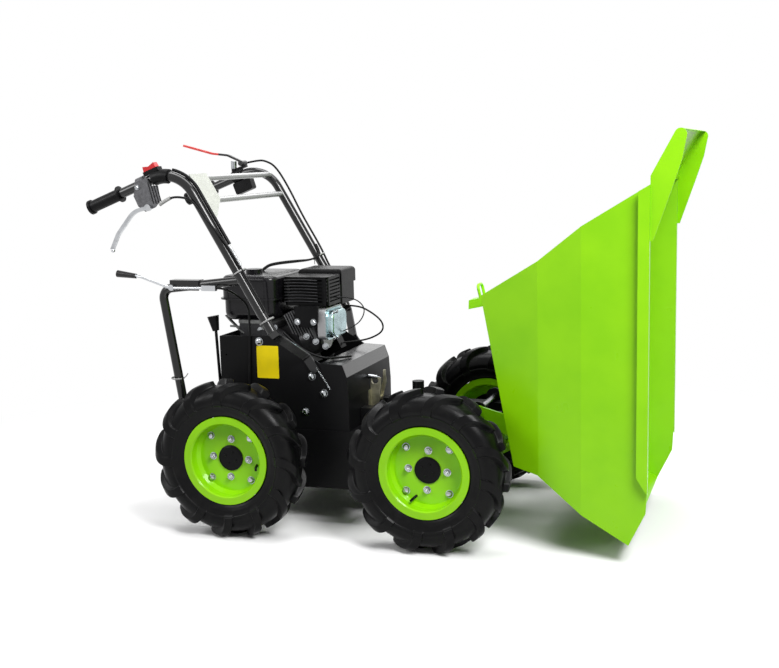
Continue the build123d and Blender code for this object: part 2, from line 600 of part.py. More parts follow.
THROTTLE_PIN = (71.0, 32.0)
PIN_R = 8.0
throttle_body = side_plate([on_bar(b, o) for b, o in ((58, -18), (118, -16), (118, -52), (60, -52))],
                           BAR_Y - 14, BAR_Y + 14)
post_top = THROTTLE_PIN[1] - PIN_R - 0.3
lever_post = side_plate([on_bar(b, o) for b, o in ((59, 16), (92, 16), (92, post_top), (59, post_top))],
                        BAR_Y - 8, BAR_Y + 8)
(spring_x, spring_z), (spring_foot_x, spring_foot_z) = on_bar(93, 47), on_bar(104, 17)
spring_cup = rod((spring_x, BAR_Y, spring_z), (spring_foot_x, BAR_Y, spring_foot_z), 8)
spring_cup = spring_cup - rod(grip_point(60, 1), grip_point(140, 1), BAR_R + RUN_GAP)
throttle_body = fillet(throttle_body.edges().filter_by(Axis.Y), 6)
keep("throttle_block", joined(bar_clamp(78, 112, 1), throttle_body, lever_post, spring_cup))
ARM_LEFT = BAR_Y + BAR_R + 8
red_path = [on_bar(b, o) for b, o in (THROTTLE_PIN, (113, 74), (159, 98), (240, 157))]
pin_x, pin_z = on_bar(*THROTTLE_PIN)
keep("throttle_lever", joined(
    strap([(x, ARM_LEFT, z) for x, z in red_path], 12, 6, 20),
    rod((pin_x, BAR_Y - 9, pin_z), (pin_x, ARM_LEFT + 4, pin_z), PIN_R)))

# ------------------------------------------------------------------ rear tube and levers
REAR_TUBE_Y = BAR_Y - BAR_R - REAR_TUBE_R - SEAT
REAR_TUBE = [(TUB_BACK - SEAT, -140, 205), (-150, -140, 205), (-162, -REAR_TUBE_Y, 250),
             (-222, -REAR_TUBE_Y, 633), (24, -REAR_TUBE_Y, 660)]
channel = block(-190, -106, -REAR_TUBE_Y - 15, -REAR_TUBE_Y + 15, 655, 659) + block(
    -190, -106, -REAR_TUBE_Y - 15, -REAR_TUBE_Y - 12.2, 632, 659)
keep("rear_tube", joined(tube(REAR_TUBE, REAR_TUBE_R, 28), channel))
RELEASE_Y = -REAR_TUBE_Y - 21
keep("release_lever", joined(
    rod((-300, RELEASE_Y, 670.6), (-287, RELEASE_Y, 669.2), 4),
    tube([(-288, RELEASE_Y, 669.3), (-270, RELEASE_Y, 667), (-190, RELEASE_Y, 640)], 4, 12),
    tapered((-341, RELEASE_Y, 675), (-285, RELEASE_Y, 669), 9.5, 6.5),
    rod((-190, RELEASE_Y, 639), (-72, RELEASE_Y, 640), 3.5),
    rod((-182, RELEASE_Y - 4, 640), (-182, -REAR_TUBE_Y - 15.2, 640), 8),
    block(-92, -52, RELEASE_Y - 6, RELEASE_Y + 6, 633, 647)))
GEAR_Y = -BAY_Y + 12
keep("gear_lever", joined(
    rod((-105, GEAR_Y, 372), (-111, GEAR_Y, 512), 4),
    tapered((-111, GEAR_Y, 512), (-118, GEAR_Y, 552), 9, 16),
    rod((-105, GEAR_Y, 372), (TUB_BACK - SEAT, GEAR_Y, 372), 7)))

# ------------------------------------------------------------------ skip, drawn tipped
def far_end(path, further):
    """The path's last point carried on by a distance."""
    (x0, z0), (x1, z1) = path[-2:]
    long = math.hypot(x1 - x0, z1 - z0)
    return x1 + (x1 - x0) / long * further, z1 + (z1 - z0) / long * further


def skip_solid(inset, over):
    """The skip's bulk: its side view and its plan, both moved in, carried on past the mouth."""
    side = beside(SKIP_REAR + SKIP_FRONT, inset)
    side = [far_end(side[::-1], over)] + side + [far_end(side, over)]
    plan = beside(SKIP_SIDE, -inset)
    plan = [(plan[0][0] - 60, plan[0][1] - 24)] + plan + [far_end(plan, over)]
    outline = plan + [(x, -y) for x, y in plan[::-1]]
    seen_from_above = Face(Wire.make_polygon([Vector(x, y, 0) for x, y in outline], close=True))
    reach = SKIP_SIDE[-1][1] + 50
    return side_plate(side, -reach, reach) & Solid.extrude(seen_from_above, Vector(0, 0, 1200))


RIM_X, RIM_TOP = SKIP_REAR[0]
RIM_Y = SKIP_SIDE[-1][1]
LIP_X, LIP_Z = SKIP_FRONT[-1]
mouth = side_plate([(RIM_X, RIM_TOP + 200), (RIM_X, LIP_TOP), (LIP_X, LIP_Z), (LIP_X, -100),
                    (RIM_X + 240, -100), (RIM_X + 240, RIM_TOP + 200)], -500, 500)
keep("skip_shell", skip_solid(0, 40) - skip_solid(SKIP_T, 200) - mouth)


def rim_strip(s):
    """Side sheet turned out along the rim and back again, cut off at a slant above the lip."""
    outer_y = s * (RIM_Y + STRIP_OUT)
    bend = [(RIM_X, s * (RIM_Y + SEAT)), (RIM_X, outer_y), (RIM_X - STRIP_BACK, outer_y)]
    section = bend + beside(bend, s * SKIP_T)[::-1]
    face = Face(Wire.make_polygon([Vector(x, y, LIP_TOP) for x, y in section], close=True))
    strip = Solid.extrude(face, Vector(0, 0, RIM_TOP - LIP_TOP))
    inner_x, outer_x = RIM_X - STRIP_BACK - 1, RIM_X + 1
    ends = side_plate([(inner_x, 221), (RIM_X, 179), (outer_x, 179), (outer_x, RIM_TOP),
                       (inner_x, RIM_TOP - 16)], -400, 400)
    return strip & ends


keep("skip_rim", rim_strip(-1), rim_strip(1))

GUARD_OUTLINE = [(RIM_X + SEAT, 770), (RIM_X + SEAT, 916), (RIM_X + 96, 1092),
                 (RIM_X + 69, 952), (RIM_X + 50, 894), (RIM_X + 7, 770)]


def end_guard():
    """Folded guard on the rim: a back sheet curled over at its top between two cheeks."""
    reach = RIM_Y + 8
    outer = side_plate(GUARD_OUTLINE, -reach, reach)
    inner = side_plate(GUARD_OUTLINE, -reach + SHEET, reach - SHEET)
    outer, inner = [fillet(bulk.edges().filter_by(Axis.Y).sort_by(Axis.Z)[-1], 14) for bulk in (outer, inner)]
    below = block(RIM_X - 5, RIM_X + 60, -reach + SHEET, reach - SHEET, 700, RIM_TOP - 4)
    return outer - Pos(2.8, 0, -1.4) * inner - below


keep("skip_guard", end_guard())

floor_long = math.hypot(SKIP_FRONT[0][0] - SKIP_REAR[-1][0], SKIP_REAR[-1][1] - SKIP_FRONT[0][1])


def under_floor(down, off):
    """A point down the floor from its upper end, and off its outer face."""
    (x0, z0), (x1, z1) = SKIP_REAR[-1], SKIP_FRONT[0]
    dx, dz = (x1 - x0) / floor_long, (z1 - z0) / floor_long
    return x0 + dx * down + dz * off, z0 + dz * down - dx * off


def off_floor(x, z):
    """How far a point lies off the floor's outer face."""
    (x0, z0), (x1, z1) = SKIP_REAR[-1], SKIP_FRONT[0]
    return ((x - x0) * (z1 - z0) - (z - z0) * (x1 - x0)) / floor_long


HINGE_OFF = off_floor(HINGE_X, HINGE_Z)
BEARER_DEEP = HINGE_Z + HINGE_OFF - STOP_TOP - REST_GAP
BEARER_Y = 30.0


def skip_bearer():
    """Channel under the floor that comes down on the stop."""
    start, end = 70, 385
    outer = [under_floor(*corner) for corner in (
        (start, SEAT), (end, SEAT), (end, BEARER_DEEP), (start, BEARER_DEEP))]
    web_in = BEARER_DEEP - SKIP_T
    inner = [under_floor(*corner) for corner in (
        (start - 1, SEAT - 1), (end + 1, SEAT - 1), (end + 1, web_in), (start - 1, web_in))]
    return side_plate(outer, -BEARER_Y, BEARER_Y) - side_plate(inner, -BEARER_Y + SKIP_T, BEARER_Y - SKIP_T)


def hinge_lug(s):
    """Gusset from the floor down to an eye round the hinge pin."""
    y0, y1 = s * LUG_IN, s * LUG_OUT
    gusset = side_plate([under_floor(335, SEAT), under_floor(405, SEAT), (HINGE_X, HINGE_Z - 17),
                         (HINGE_X + 4, HINGE_Z + 16.5)], y0, y1)
    eye = rod((HINGE_X, y0, HINGE_Z), (HINGE_X, y1, HINGE_Z), 17)
    hole = rod((HINGE_X, s * (LUG_IN - 1), HINGE_Z), (HINGE_X, s * (LUG_OUT + 1), HINGE_Z),
               HINGE_PIN_R + RUN_GAP)
    return joined(gusset, eye) - hole


keep("skip_bearer", skip_bearer())
keep("skip_lugs", hinge_lug(-1), hinge_lug(1))

STRIKER_R, STRIKER_Y = 4.0, 22.0
STRIKER_X, STRIKER_Z = HINGE_X - 15.0, 630.0
tab_top, tab_low = 41.0, 18.0        # down the floor from its upper end, as drawn tipped
tab = side_plate([under_floor(*corner) for corner in (
    (tab_low, SEAT), (tab_top, SEAT), (tab_top, 90), (tab_low, 84))], -STRIKER_Y - 4, STRIKER_Y + 4)
root_x, root_z = under_floor(tab_low + 6, 52)
striker = tube([(root_x, -STRIKER_Y, root_z), (STRIKER_X, -STRIKER_Y, STRIKER_Z),
                (STRIKER_X, STRIKER_Y, STRIKER_Z), (root_x, STRIKER_Y, root_z)], STRIKER_R, 12)
keep("skip_striker", joined(tab, striker))

# ------------------------------------------------------------------ latch on the front cover
DOWN = math.radians(78.0)            # the skip's swing from tipped to down


def when_down(x, z):
    """Where a point of the tipped skip lies once the skip is down."""
    dx, dz = x - HINGE_X, z - HINGE_Z
    return (HINGE_X + dx * math.cos(DOWN) - dz * math.sin(DOWN),
            HINGE_Z + dx * math.sin(DOWN) + dz * math.cos(DOWN))


slot_x, slot_z = when_down(STRIKER_X, STRIKER_Z)
COVER_X = 272.0
back_gap, front_gap = STRIKER_R + 5.4, STRIKER_R + 7.0


def skip_latch():
    """Catch plate with an open slot that the striker's cross bar drops into, on a base plate."""
    base = block(COVER_X + SEAT, COVER_X + SEAT + 2.6, -22, 22, 286, 336)
    tip = slot_x + front_gap + 7
    plate = side_plate([(COVER_X + 1, 290), (COVER_X + 1, 336), (COVER_X + 2, slot_z + 6), (tip, slot_z + 6),
                        (tip, slot_z - 18), (296, 296), (288, 290)], -4, 4)
    slot = side_plate([(slot_x - back_gap, slot_z + 20), (slot_x - back_gap, slot_z - 4),
                       (slot_x - 5, slot_z - 12), (slot_x + 6, slot_z - 12), (slot_x + front_gap, slot_z - 4),
                       (slot_x + front_gap, slot_z + 20)], -5, 5)
    return joined(base, plate) - slot


keep("skip_latch", skip_latch())
pawl_y = STRIKER_Y + STRIKER_R + 7
pawl = side_plate([(282, 300), (294, 300), (306, 352), (304, 384), (298, 384), (296, 352)],
                  pawl_y, pawl_y + 5)
pawl_pin = rod((288, 4.2, 308), (288, pawl_y + 8, 308), 5)
keep("latch_pawl", joined(pawl, pawl_pin))

# ------------------------------------------------------------------ held cables
CABLE_R = 3.0
SHEATH_R = 4.5
WIRE_R = 1.6
grip_to_foot = [grip_point(GRIP_END, 0)[::2], (BAR_TOP_X, BAR_TOP_Z), bar_point(745, 0)[::2]]


def before_bar(z, out, s, y):
    """A point in front of a handlebar's lower straight, out from its centre line."""
    x, _, _ = bar_point(z, s)
    return x - down.Z * out, y, z + down.X * out


BESIDE = CABLE_R + 0.4
OVER_BAR_Y = -BAR_Y - BAR_R - BESIDE
start_x, start_z = on_bar(68, -50)
clutch_run = [(start_x, OVER_BAR_Y, start_z), (-150, OVER_BAR_Y, 876), (-104, OVER_BAR_Y, 872),
              before_bar(800, 8, -1, OVER_BAR_Y), before_bar(745, 18, -1, -BAR_Y - 10),
              before_bar(575, 18, -1, -BAR_Y - 10)]
keep("clutch_cable", tube(clutch_run, CABLE_R, 18))
start_x, start_z = on_bar(57.7, 24)
throttle_run = [(start_x, BAR_Y + 12, start_z), (-148, BAR_Y + 12, 962), (-108, BAR_Y + 8, 940),
                (-30, BAR_Y + 4, 798), (28, BAR_Y, 706), before_bar(640, 16.6, 1, BAR_Y),
                before_bar(575, 16.6, 1, BAR_Y)]
keep("throttle_cable", tube(throttle_run, CABLE_R, 18))
ON_PLATE_Y = -BAY_Y - BESIDE
release_run = [(-51.8, RELEASE_Y, 640), (-26, RELEASE_Y, 640), (-2, ON_PLATE_Y - 4, 590),
               (-2, ON_PLATE_Y, 540), (-9, ON_PLATE_Y, 390), (-12, ON_PLATE_Y, TUB_TOP + 4)]
keep("release_cable", tube(release_run, CABLE_R, 10))
sheath_line = beside(grip_to_foot, BAR_R + SHEATH_R + 0.4)
_, sheath_bend, sheath_run = bent([(x, -BAR_Y + 3, z) for x, z in sheath_line],
                                  BAR_BEND + BAR_R + SHEATH_R).edges().sort_by(Axis.X)
sheath = along(Wire([sheath_bend.trim(0.4, 1.0), sheath_run]), Circle(SHEATH_R))
air_loop = tube([(150, 135, 548), (196, 140, 545), (262, 130, 500), (238, 128, 462), (157.5, 95, 447)],
                2.5, 16)
spark_lead = tube([(185.4, -12, 590), (214, 10, 586), (243, 40, 556), (226, 20, 516), (198, -10, 496)],
                  WIRE_R, 12)
bundle = tube([(84, -152, 512), (112, -150, 484), (178, -140, 446), (205, -120, 437.5), (240, -60, 435.5)],
              CABLE_R, 14)
keep("engine_cables", sheath, air_loop, spark_lead, bundle)

# ------------------------------------------------------------------ export
for name, shapes in NODES.items():
    solids = [solid for shape in shapes for solid in shape.solids()]
    body = solids[0] if len(solids) == 1 else Compound(children=solids)
    export_step(Pos(-X_MID, 0, 0) * body, f"parts/{name}.step")
print(len(NODES), "nodes")
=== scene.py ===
"""Site dumper with a tipping skip: finishes, tyres, fasteners, cables and studio."""
import bmesh
import bpy
import json
import math
import numpy as np
from mathutils import Matrix, Vector


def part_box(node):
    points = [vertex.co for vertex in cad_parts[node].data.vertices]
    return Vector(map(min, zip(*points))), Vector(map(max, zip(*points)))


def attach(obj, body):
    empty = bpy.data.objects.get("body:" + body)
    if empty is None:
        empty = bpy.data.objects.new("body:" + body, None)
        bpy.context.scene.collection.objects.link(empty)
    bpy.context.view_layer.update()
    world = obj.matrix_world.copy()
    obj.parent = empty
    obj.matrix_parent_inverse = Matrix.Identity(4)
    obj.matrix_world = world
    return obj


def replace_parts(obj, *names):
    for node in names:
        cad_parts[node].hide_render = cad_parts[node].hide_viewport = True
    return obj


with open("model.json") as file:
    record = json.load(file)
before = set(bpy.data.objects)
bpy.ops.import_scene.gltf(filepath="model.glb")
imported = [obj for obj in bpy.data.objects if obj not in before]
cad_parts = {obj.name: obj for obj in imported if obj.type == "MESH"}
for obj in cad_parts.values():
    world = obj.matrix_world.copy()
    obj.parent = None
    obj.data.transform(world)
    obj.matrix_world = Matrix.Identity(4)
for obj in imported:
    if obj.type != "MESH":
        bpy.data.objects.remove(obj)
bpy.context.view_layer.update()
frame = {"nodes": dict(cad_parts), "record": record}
NODES = frame["nodes"]
TAU = 2 * math.pi
JOINT_AT = {joint["name"]: joint["pos_m"] for joint in frame["record"]["behaviour"]["joints"]}
AHEAD = -JOINT_AT["wheel_rear_right_spin"][0]      # the rear axle lies this far behind the origin


# ------------------------------------------------------------------ camera
def set_camera():
    """Camera on a stand ahead of the machine's right side, looking slightly down."""
    turn, dip, roll = math.radians(CAM["turn"]), math.radians(CAM["dip"]), math.radians(CAM["roll"])
    right = Vector((math.cos(turn), math.sin(turn), 0))
    back = Vector((math.sin(turn) * math.cos(dip), -math.cos(turn) * math.cos(dip), math.sin(dip)))
    up = back.cross(right)
    across = right * math.cos(roll) + up * math.sin(roll)
    upright = up * math.cos(roll) - right * math.sin(roll)
    data = bpy.data.cameras.new("camera")
    data.lens, data.sensor_width = CAM["lens"], 36.0
    data.shift_x, data.shift_y = CAM["shift"]
    data.clip_end = 60
    camera = bpy.data.objects.new("camera", data)
    bpy.context.scene.collection.objects.link(camera)
    facing = Matrix((across, upright, back)).transposed().to_4x4()
    camera.matrix_world = Matrix.Translation(CAM["place"]) @ facing
    bpy.context.scene.camera = camera


CAM = {"turn": 17.9, "dip": 8.8, "roll": -1.2, "lens": 55.14, "shift": (-0.0297, 0.0039),
       "place": (1.3789 - AHEAD, -3.0408, 0.9784)}
set_camera()


# ------------------------------------------------------------------ finishes
class Wire:
    """A value in a finish; arithmetic on it adds Math nodes."""

    def __init__(self, finish, socket):
        self.finish, self.socket = finish, socket

    def maths(self, operation, *values):
        return self.finish.node("ShaderNodeMath", {"operation": operation}, *values)

    def __add__(self, other): return self.maths("ADD", self, other)
    def __radd__(self, other): return self.maths("ADD", other, self)
    def __sub__(self, other): return self.maths("SUBTRACT", self, other)
    def __rsub__(self, other): return self.maths("SUBTRACT", other, self)
    def __mul__(self, other): return self.maths("MULTIPLY", self, other)
    def __rmul__(self, other): return self.maths("MULTIPLY", other, self)


class Finish:
    """One material: a Principled shader whose plain values are set on its own sockets."""

    def __init__(self, name, **plain):
        self.material = bpy.data.materials.new(name)
        self.material.use_nodes = True
        self.tree = self.material.node_tree
        self.shader = self.tree.nodes["Principled BSDF"]
        for socket, value in plain.items():
            self.shader.inputs[socket.replace("_", " ")].default_value = value

    def node(self, kind, settings, *values, out=0, **named):
        """Add a node: its settings first, then its sockets by order or by name."""
        made = self.tree.nodes.new(kind)
        for key, value in settings.items():
            setattr(made, key, value)
        pairs = [(made.inputs[i], v) for i, v in enumerate(values) if v is not None]
        pairs += [(made.inputs[k.replace("_", " ")], v) for k, v in named.items()]
        for socket, value in pairs:
            if isinstance(value, Wire):
                self.tree.links.new(value.socket, socket)
            else:
                socket.default_value = value
        return Wire(self, made.outputs[out])

    def feed(self, **wires):
        for socket, wire in wires.items():
            self.tree.links.new(wire.socket, self.shader.inputs[socket.replace("_", " ")])

    def here(self):
        """Object coordinates."""
        return self.node("ShaderNodeTexCoord", {}, out=3)

    def along(self, axis):
        """The object coordinate of one axis."""
        return self.node("ShaderNodeSeparateXYZ", {}, self.here(), out="XYZ".index(axis))

    def noise(self, size, detail=3.0):
        """Cloudy value about 0.5 whose lumps are about size metres across."""
        return self.node("ShaderNodeTexNoise", {}, Vector=self.here(), Scale=1 / size, Detail=detail,
                         Roughness=0.55)

    def tint(self, share, first, second):
        """Colour running from the first to the second as share goes from 0 to 1."""
        mix = self.tree.nodes.new("ShaderNodeMix")
        mix.data_type, mix.clamp_factor = "RGBA", True
        self.tree.links.new(share.socket, mix.inputs[0])
        for socket, colour in ((mix.inputs[6], first), (mix.inputs[7], second)):
            if isinstance(colour, Wire):
                self.tree.links.new(colour.socket, socket)
            else:
                socket.default_value = (*colour, 1)
        return Wire(self, mix.outputs[2])

    def ramp(self, value, low, high):
        """0 below low, 1 above high, a smooth rise between."""
        return self.node("ShaderNodeMapRange", {"interpolation_type": "SMOOTHSTEP"}, value, low, high)

    def relief(self, height, deep):
        """Normal of a surface raised by height times deep, in metres."""
        return self.node("ShaderNodeBump", {}, Height=height, Distance=deep, Strength=1.0)


def srgb(r, g, b):
    """Linear light from display values of 0 to 255."""
    return tuple(c / 12.92 if c <= 0.04045 else ((c + 0.055) / 1.055) ** 2.4
                 for c in (r / 255, g / 255, b / 255))


def painted(name, colour, dark, rough=0.3, coat=0.0, peel=0.00002, shine=0.5):
    """Sprayed paint: slight drift of colour and orange peel."""
    f = Finish(name, IOR=1.5, Coat_Weight=coat, Coat_Roughness=0.06, Specular_IOR_Level=shine)
    drift = f.noise(0.16)
    f.feed(Base_Color=f.tint(f.ramp(drift, 0.35, 0.7), colour, dark))
    f.feed(Roughness=f.noise(0.05, 4.0) * 0.14 + (rough - 0.07))
    f.feed(Normal=f.relief(f.noise(0.0024, 1.0), peel))
    return f.material


def metal(name, colour, rough=0.3, dull=0.0):
    """Plated metal with faint stains and a fine unevenness."""
    f = Finish(name, IOR=1.5, Metallic=1.0)
    stain = f.noise(0.02, 4.0)
    darker = tuple(c * (0.7 - dull) for c in colour)
    f.feed(Base_Color=f.tint(f.ramp(stain, 0.4, 0.75), colour, darker))
    f.feed(Roughness=f.noise(0.004, 3.0) * 0.2 + (rough - 0.08))
    f.feed(Normal=f.relief(f.noise(0.003, 2.0), 0.000008))
    return f.material


def cast(name, colour, rough=0.55, metallic=0.6, machined=None, border=0.0):
    """Sand-cast aluminium: pebbled skin, darker patches at random, and a machined colour ahead of the border.
    """
    f = Finish(name, IOR=1.5, Metallic=metallic)
    skin = f.tint(f.ramp(f.noise(0.012, 5.0), 0.3, 0.7), colour, tuple(c * 0.62 for c in colour))
    if machined:
        skin = f.tint(f.ramp(f.along("X"), border - 0.0003, border + 0.0003), skin, machined)
    f.feed(Base_Color=skin, Roughness=f.noise(0.006, 3.0) * 0.2 + (rough - 0.1))
    f.feed(Normal=f.relief(f.noise(0.0016, 3.0), 0.00012))
    return f.material


def moulded(name, colour, rough=0.45, pebble=0.00006, shine=0.5, dust=1.0):
    """Moulded plastic or rubber with a fine pebbled skin and a share of dust."""
    f = Finish(name, IOR=1.47, Specular_IOR_Level=shine)
    f.feed(Base_Color=f.tint(f.ramp(f.noise(0.03, 4.0), 0.35, 0.75) * dust, colour,
                             tuple(c * (0.7 if c > 0.1 else 1.5) + 0.002 for c in colour)))
    f.feed(Roughness=f.noise(0.01, 3.0) * 0.2 + (rough - 0.1))
    f.feed(Normal=f.relief(f.noise(0.0009, 2.0), pebble))
    return f.material


def tyre_rubber():
    """Tyre rubber: bloom and dust in random patches, fine ageing cracks."""
    f = Finish("tyre_rubber", IOR=1.5, Specular_IOR_Level=0.11)
    dust = f.ramp(f.noise(0.035, 6.0), 0.42, 0.8)
    f.feed(Base_Color=f.tint(dust * 0.35, srgb(7, 7, 8), srgb(27, 26, 25)))
    f.feed(Roughness=dust * 0.22 + 0.29)
    fine = f.noise(0.0012, 2.0) * 0.5 + f.noise(0.006, 4.0)
    f.feed(Normal=f.relief(fine, 0.00018))
    return f.material


def two_tone(name, first, second, border):
    """Moulded plastic of two colours that meet where x passes the border."""
    f = Finish(name, IOR=1.47, Specular_IOR_Level=0.4)
    grime = f.ramp(f.noise(0.02, 4.0), 0.45, 0.8) * 0.35
    shade = f.tint(f.ramp(f.along("X"), border - 0.0004, border + 0.0004), first, second)
    f.feed(Base_Color=f.tint(grime, shade, tuple(c * 0.6 for c in second)))
    f.feed(Roughness=f.noise(0.01, 3.0) * 0.2 + 0.3)
    f.feed(Normal=f.relief(f.noise(0.0009, 2.0), 0.00002))
    return f.material


def plated_rod(name, colour, knob, border):
    """Bright metal whose end behind the border is a black moulded knob."""
    f = Finish(name, IOR=1.5, Specular_IOR_Level=0.4)
    bare = f.ramp(f.along("X"), border - 0.0004, border + 0.0004)
    f.feed(Base_Color=f.tint(bare, knob, colour), Metallic=bare)
    f.feed(Roughness=f.noise(0.01, 3.0) * 0.16 + 0.18)
    f.feed(Normal=f.relief(f.noise(0.0012, 2.0), 0.00001))
    return f.material


def nose_paint(name, colour, border):
    """Black paint that is matt below the border and glossy above it."""
    f = Finish(name, IOR=1.5, Specular_IOR_Level=0.1, Coat_Roughness=0.16, Coat_IOR=1.6)
    f.feed(Base_Color=f.tint(f.ramp(f.noise(0.05, 4.0), 0.35, 0.7), colour, tuple(c * 1.3 for c in colour)))
    f.feed(Coat_Weight=f.ramp(f.along("Z"), border - 0.001, border + 0.001))
    f.feed(Roughness=f.noise(0.05, 4.0) * 0.14 + 0.3, Normal=f.relief(f.noise(0.0024, 1.0), 0.00002))
    return f.material


M = {
    "lime": painted("lime_paint", srgb(143, 213, 8), srgb(133, 205, 4), 0.3, 0.0, 0.000010, 0.3),
    "wheel_lime": painted("wheel_lime_paint", srgb(146, 214, 16), srgb(138, 206, 10), 0.2, 0.16,
                          0.000006, 0.12),
    "black": painted("black_paint", srgb(13, 13, 14), srgb(17, 17, 18), 0.36, 0.0, 0.00003, 0.1),
    "nose": nose_paint("cover_paint", srgb(13, 13, 14), 0.3985),
    "tube": painted("tube_paint", srgb(12, 12, 13), srgb(16, 16, 17), 0.18, 0.3, 0.000004, 0.3),
    "black_gloss": painted("hub_paint", srgb(6, 6, 7), srgb(12, 12, 13), 0.3, 0.0, 0.00002, 0.09),
    "silver_paint": painted("silver_paint", srgb(132, 132, 133), srgb(120, 120, 121), 0.22, 0.4),
    "red": two_tone("lever_paint", srgb(206, 66, 62), srgb(20, 20, 21), -0.3045 - AHEAD),
    "tyre": tyre_rubber(),
    "rubber": moulded("trim_rubber", srgb(11, 11, 12), 0.36, shine=0.13),
    "plastic": moulded("black_plastic", srgb(8, 8, 9), 0.3, 0.00001, 0.11),
    "tank": moulded("tank_enamel", srgb(12, 11, 14), 0.2, 0.000001, 0.3),
    "switch": moulded("red_plastic", srgb(204, 40, 44), 0.35, 0.00001, 0.3),
    "bright": metal("bright_zinc", srgb(168, 171, 174), 0.2),
    "chrome": metal("chrome", srgb(188, 190, 193), 0.12),
    "lever": plated_rod("lever_metal", srgb(190, 192, 195), srgb(14, 14, 15), -0.285 - AHEAD),
    "bracket": metal("olive_zinc", srgb(188, 184, 160), 0.4, dull=0.1),
    "cover_metal": metal("rocker_cover_plate", srgb(184, 208, 212), 0.24),
    "fins": cast("dark_fins", srgb(92, 92, 94), 0.4, 0.5, srgb(176, 176, 178), 0.1535 - AHEAD),
    "casting": cast("cast_aluminium", srgb(140, 141, 140), 0.42, 0.7),
    "dark_casting": cast("dark_casting", srgb(52, 52, 54), 0.5, 0.4),
    "grey_casting": cast("clutch_casting", srgb(96, 96, 99), 0.42, 0.5),
    "label": moulded("blank_plate", srgb(182, 183, 178), 0.4, 0.000004, 0.15, 0.3),
    "yellow": moulded("blank_yellow_plate", srgb(236, 212, 16), 0.4, 0.000005, 0.2, 0.25),
    # guard bars: the black plastic of the muffler guard in a lighter grey, a painted highlight along the bars'
    # edges
    "guard": moulded("guard_bars_painted_highlight", srgb(42, 42, 44), 0.35, 0.00001, 0.3),
    "clear": moulded("clear_sleeve", srgb(176, 176, 174), 0.3, 0.00001),
    "tie": moulded("cable_tie", srgb(150, 150, 150), 0.35, 0.00001),
}
FINISH_OF = {
    "lime": "skip_shell skip_rim skip_guard skip_striker skip_lugs skip_bearer",
    "wheel_lime": "rim_rear_right rim_rear_left rim_front_right rim_front_left",
    "black": "lower_box side_plate_left side_plate_right rear_panel front_box skip_rails "
             "rear_axle_drive front_axle_drive engine_floor muffler",
    "tube": "handlebar_tubes rear_tube", "nose": "front_cover", "lever": "release_lever",
    "black_gloss": "hub_rear_right hub_rear_left hub_front_right hub_front_left",
    "silver_paint": "handlebar_crossbars", "red": "throttle_lever", "switch": "stop_switch",
    "rubber": "handlebar_grips bed_stop clutch_cable throttle_cable release_cable engine_cables "
              "throttle_block switch_housing",
    "plastic": "air_filter muffler_guard fan_cowl recoil_starter gear_lever", "tank": "fuel_tank",
    "bright": "hinge_pin", "chrome": "clutch_lever", "bracket": "skip_latch latch_pawl",
    "cover_metal": "rocker_cover", "fins": "cylinder", "casting": "carburettor tank_saddle",
    "grey_casting": "clutch_bracket", "dark_casting": "engine_block",
    "label": "handle_plate", "tyre": "tyre_rear_right tyre_rear_left tyre_front_right tyre_front_left",
}
for finish, names in FINISH_OF.items():
    for name in names.split():
        mesh = NODES[name].data
        mesh.materials.clear()
        mesh.materials.append(M[finish])


# ------------------------------------------------------------------ making shapes
def at(x, y, z):
    """Metres from the origin for millimetres from the rear axle's middle on the ground."""
    return np.array((x / 1000 - AHEAD, y / 1000, z / 1000))


def unit(v):
    v = np.asarray(v, float)
    return v / np.linalg.norm(v, axis=-1, keepdims=True)


def axes_along(direction):
    """Rows x, y and z of a right-handed frame whose z runs along the direction."""
    z = unit(direction)
    x = unit(np.cross((0, 0, 1) if abs(z[2]) < 0.9 else (1, 0, 0), z))
    return np.array([x, np.cross(z, x), z])


def grid_faces(rows, columns, wrap):
    """Quads of a grid counted along its rows; wrap joins the last column to the first."""
    spans = columns if wrap else columns - 1
    i, j = np.meshgrid(np.arange(rows - 1), np.arange(spans), indexing="ij")
    k = (j + 1) % columns
    quads = np.stack([i * columns + j, i * columns + k, (i + 1) * columns + k, (i + 1) * columns + j], -1)
    return quads.reshape(-1, 4)


def lathe(profile, sides):
    """Turned shape about z: point (i, j) = (r_i cos a_j, r_i sin a_j, h_i), a_j = j turns / sides."""
    r, h = np.asarray(profile, float).T
    a = np.arange(sides) / sides * TAU
    height = np.repeat(h[:, None], sides, 1)
    points = np.stack([np.outer(r, np.cos(a)), np.outer(r, np.sin(a)), height], -1)
    return points.reshape(-1, 3), grid_faces(len(r), sides, True)


def smooth_line(points, count):
    """Catmull-Rom curve: a run blends its four nearest points by cubic weights in its share."""
    p = np.asarray(points, float)
    p = np.vstack([2 * p[0] - p[1], p, 2 * p[-1] - p[-2]])
    t = np.linspace(0, len(points) - 1 - 1e-9, count)
    i = t.astype(int)
    s = (t - i)[:, None]
    a, b, c, d = p[i], p[i + 1], p[i + 2], p[i + 3]
    bend, twist = 2 * a - 5 * b + 4 * c - d, 3 * b - a - 3 * c + d
    return 0.5 * (2 * b + (c - a) * s + bend * s**2 + twist * s**3)


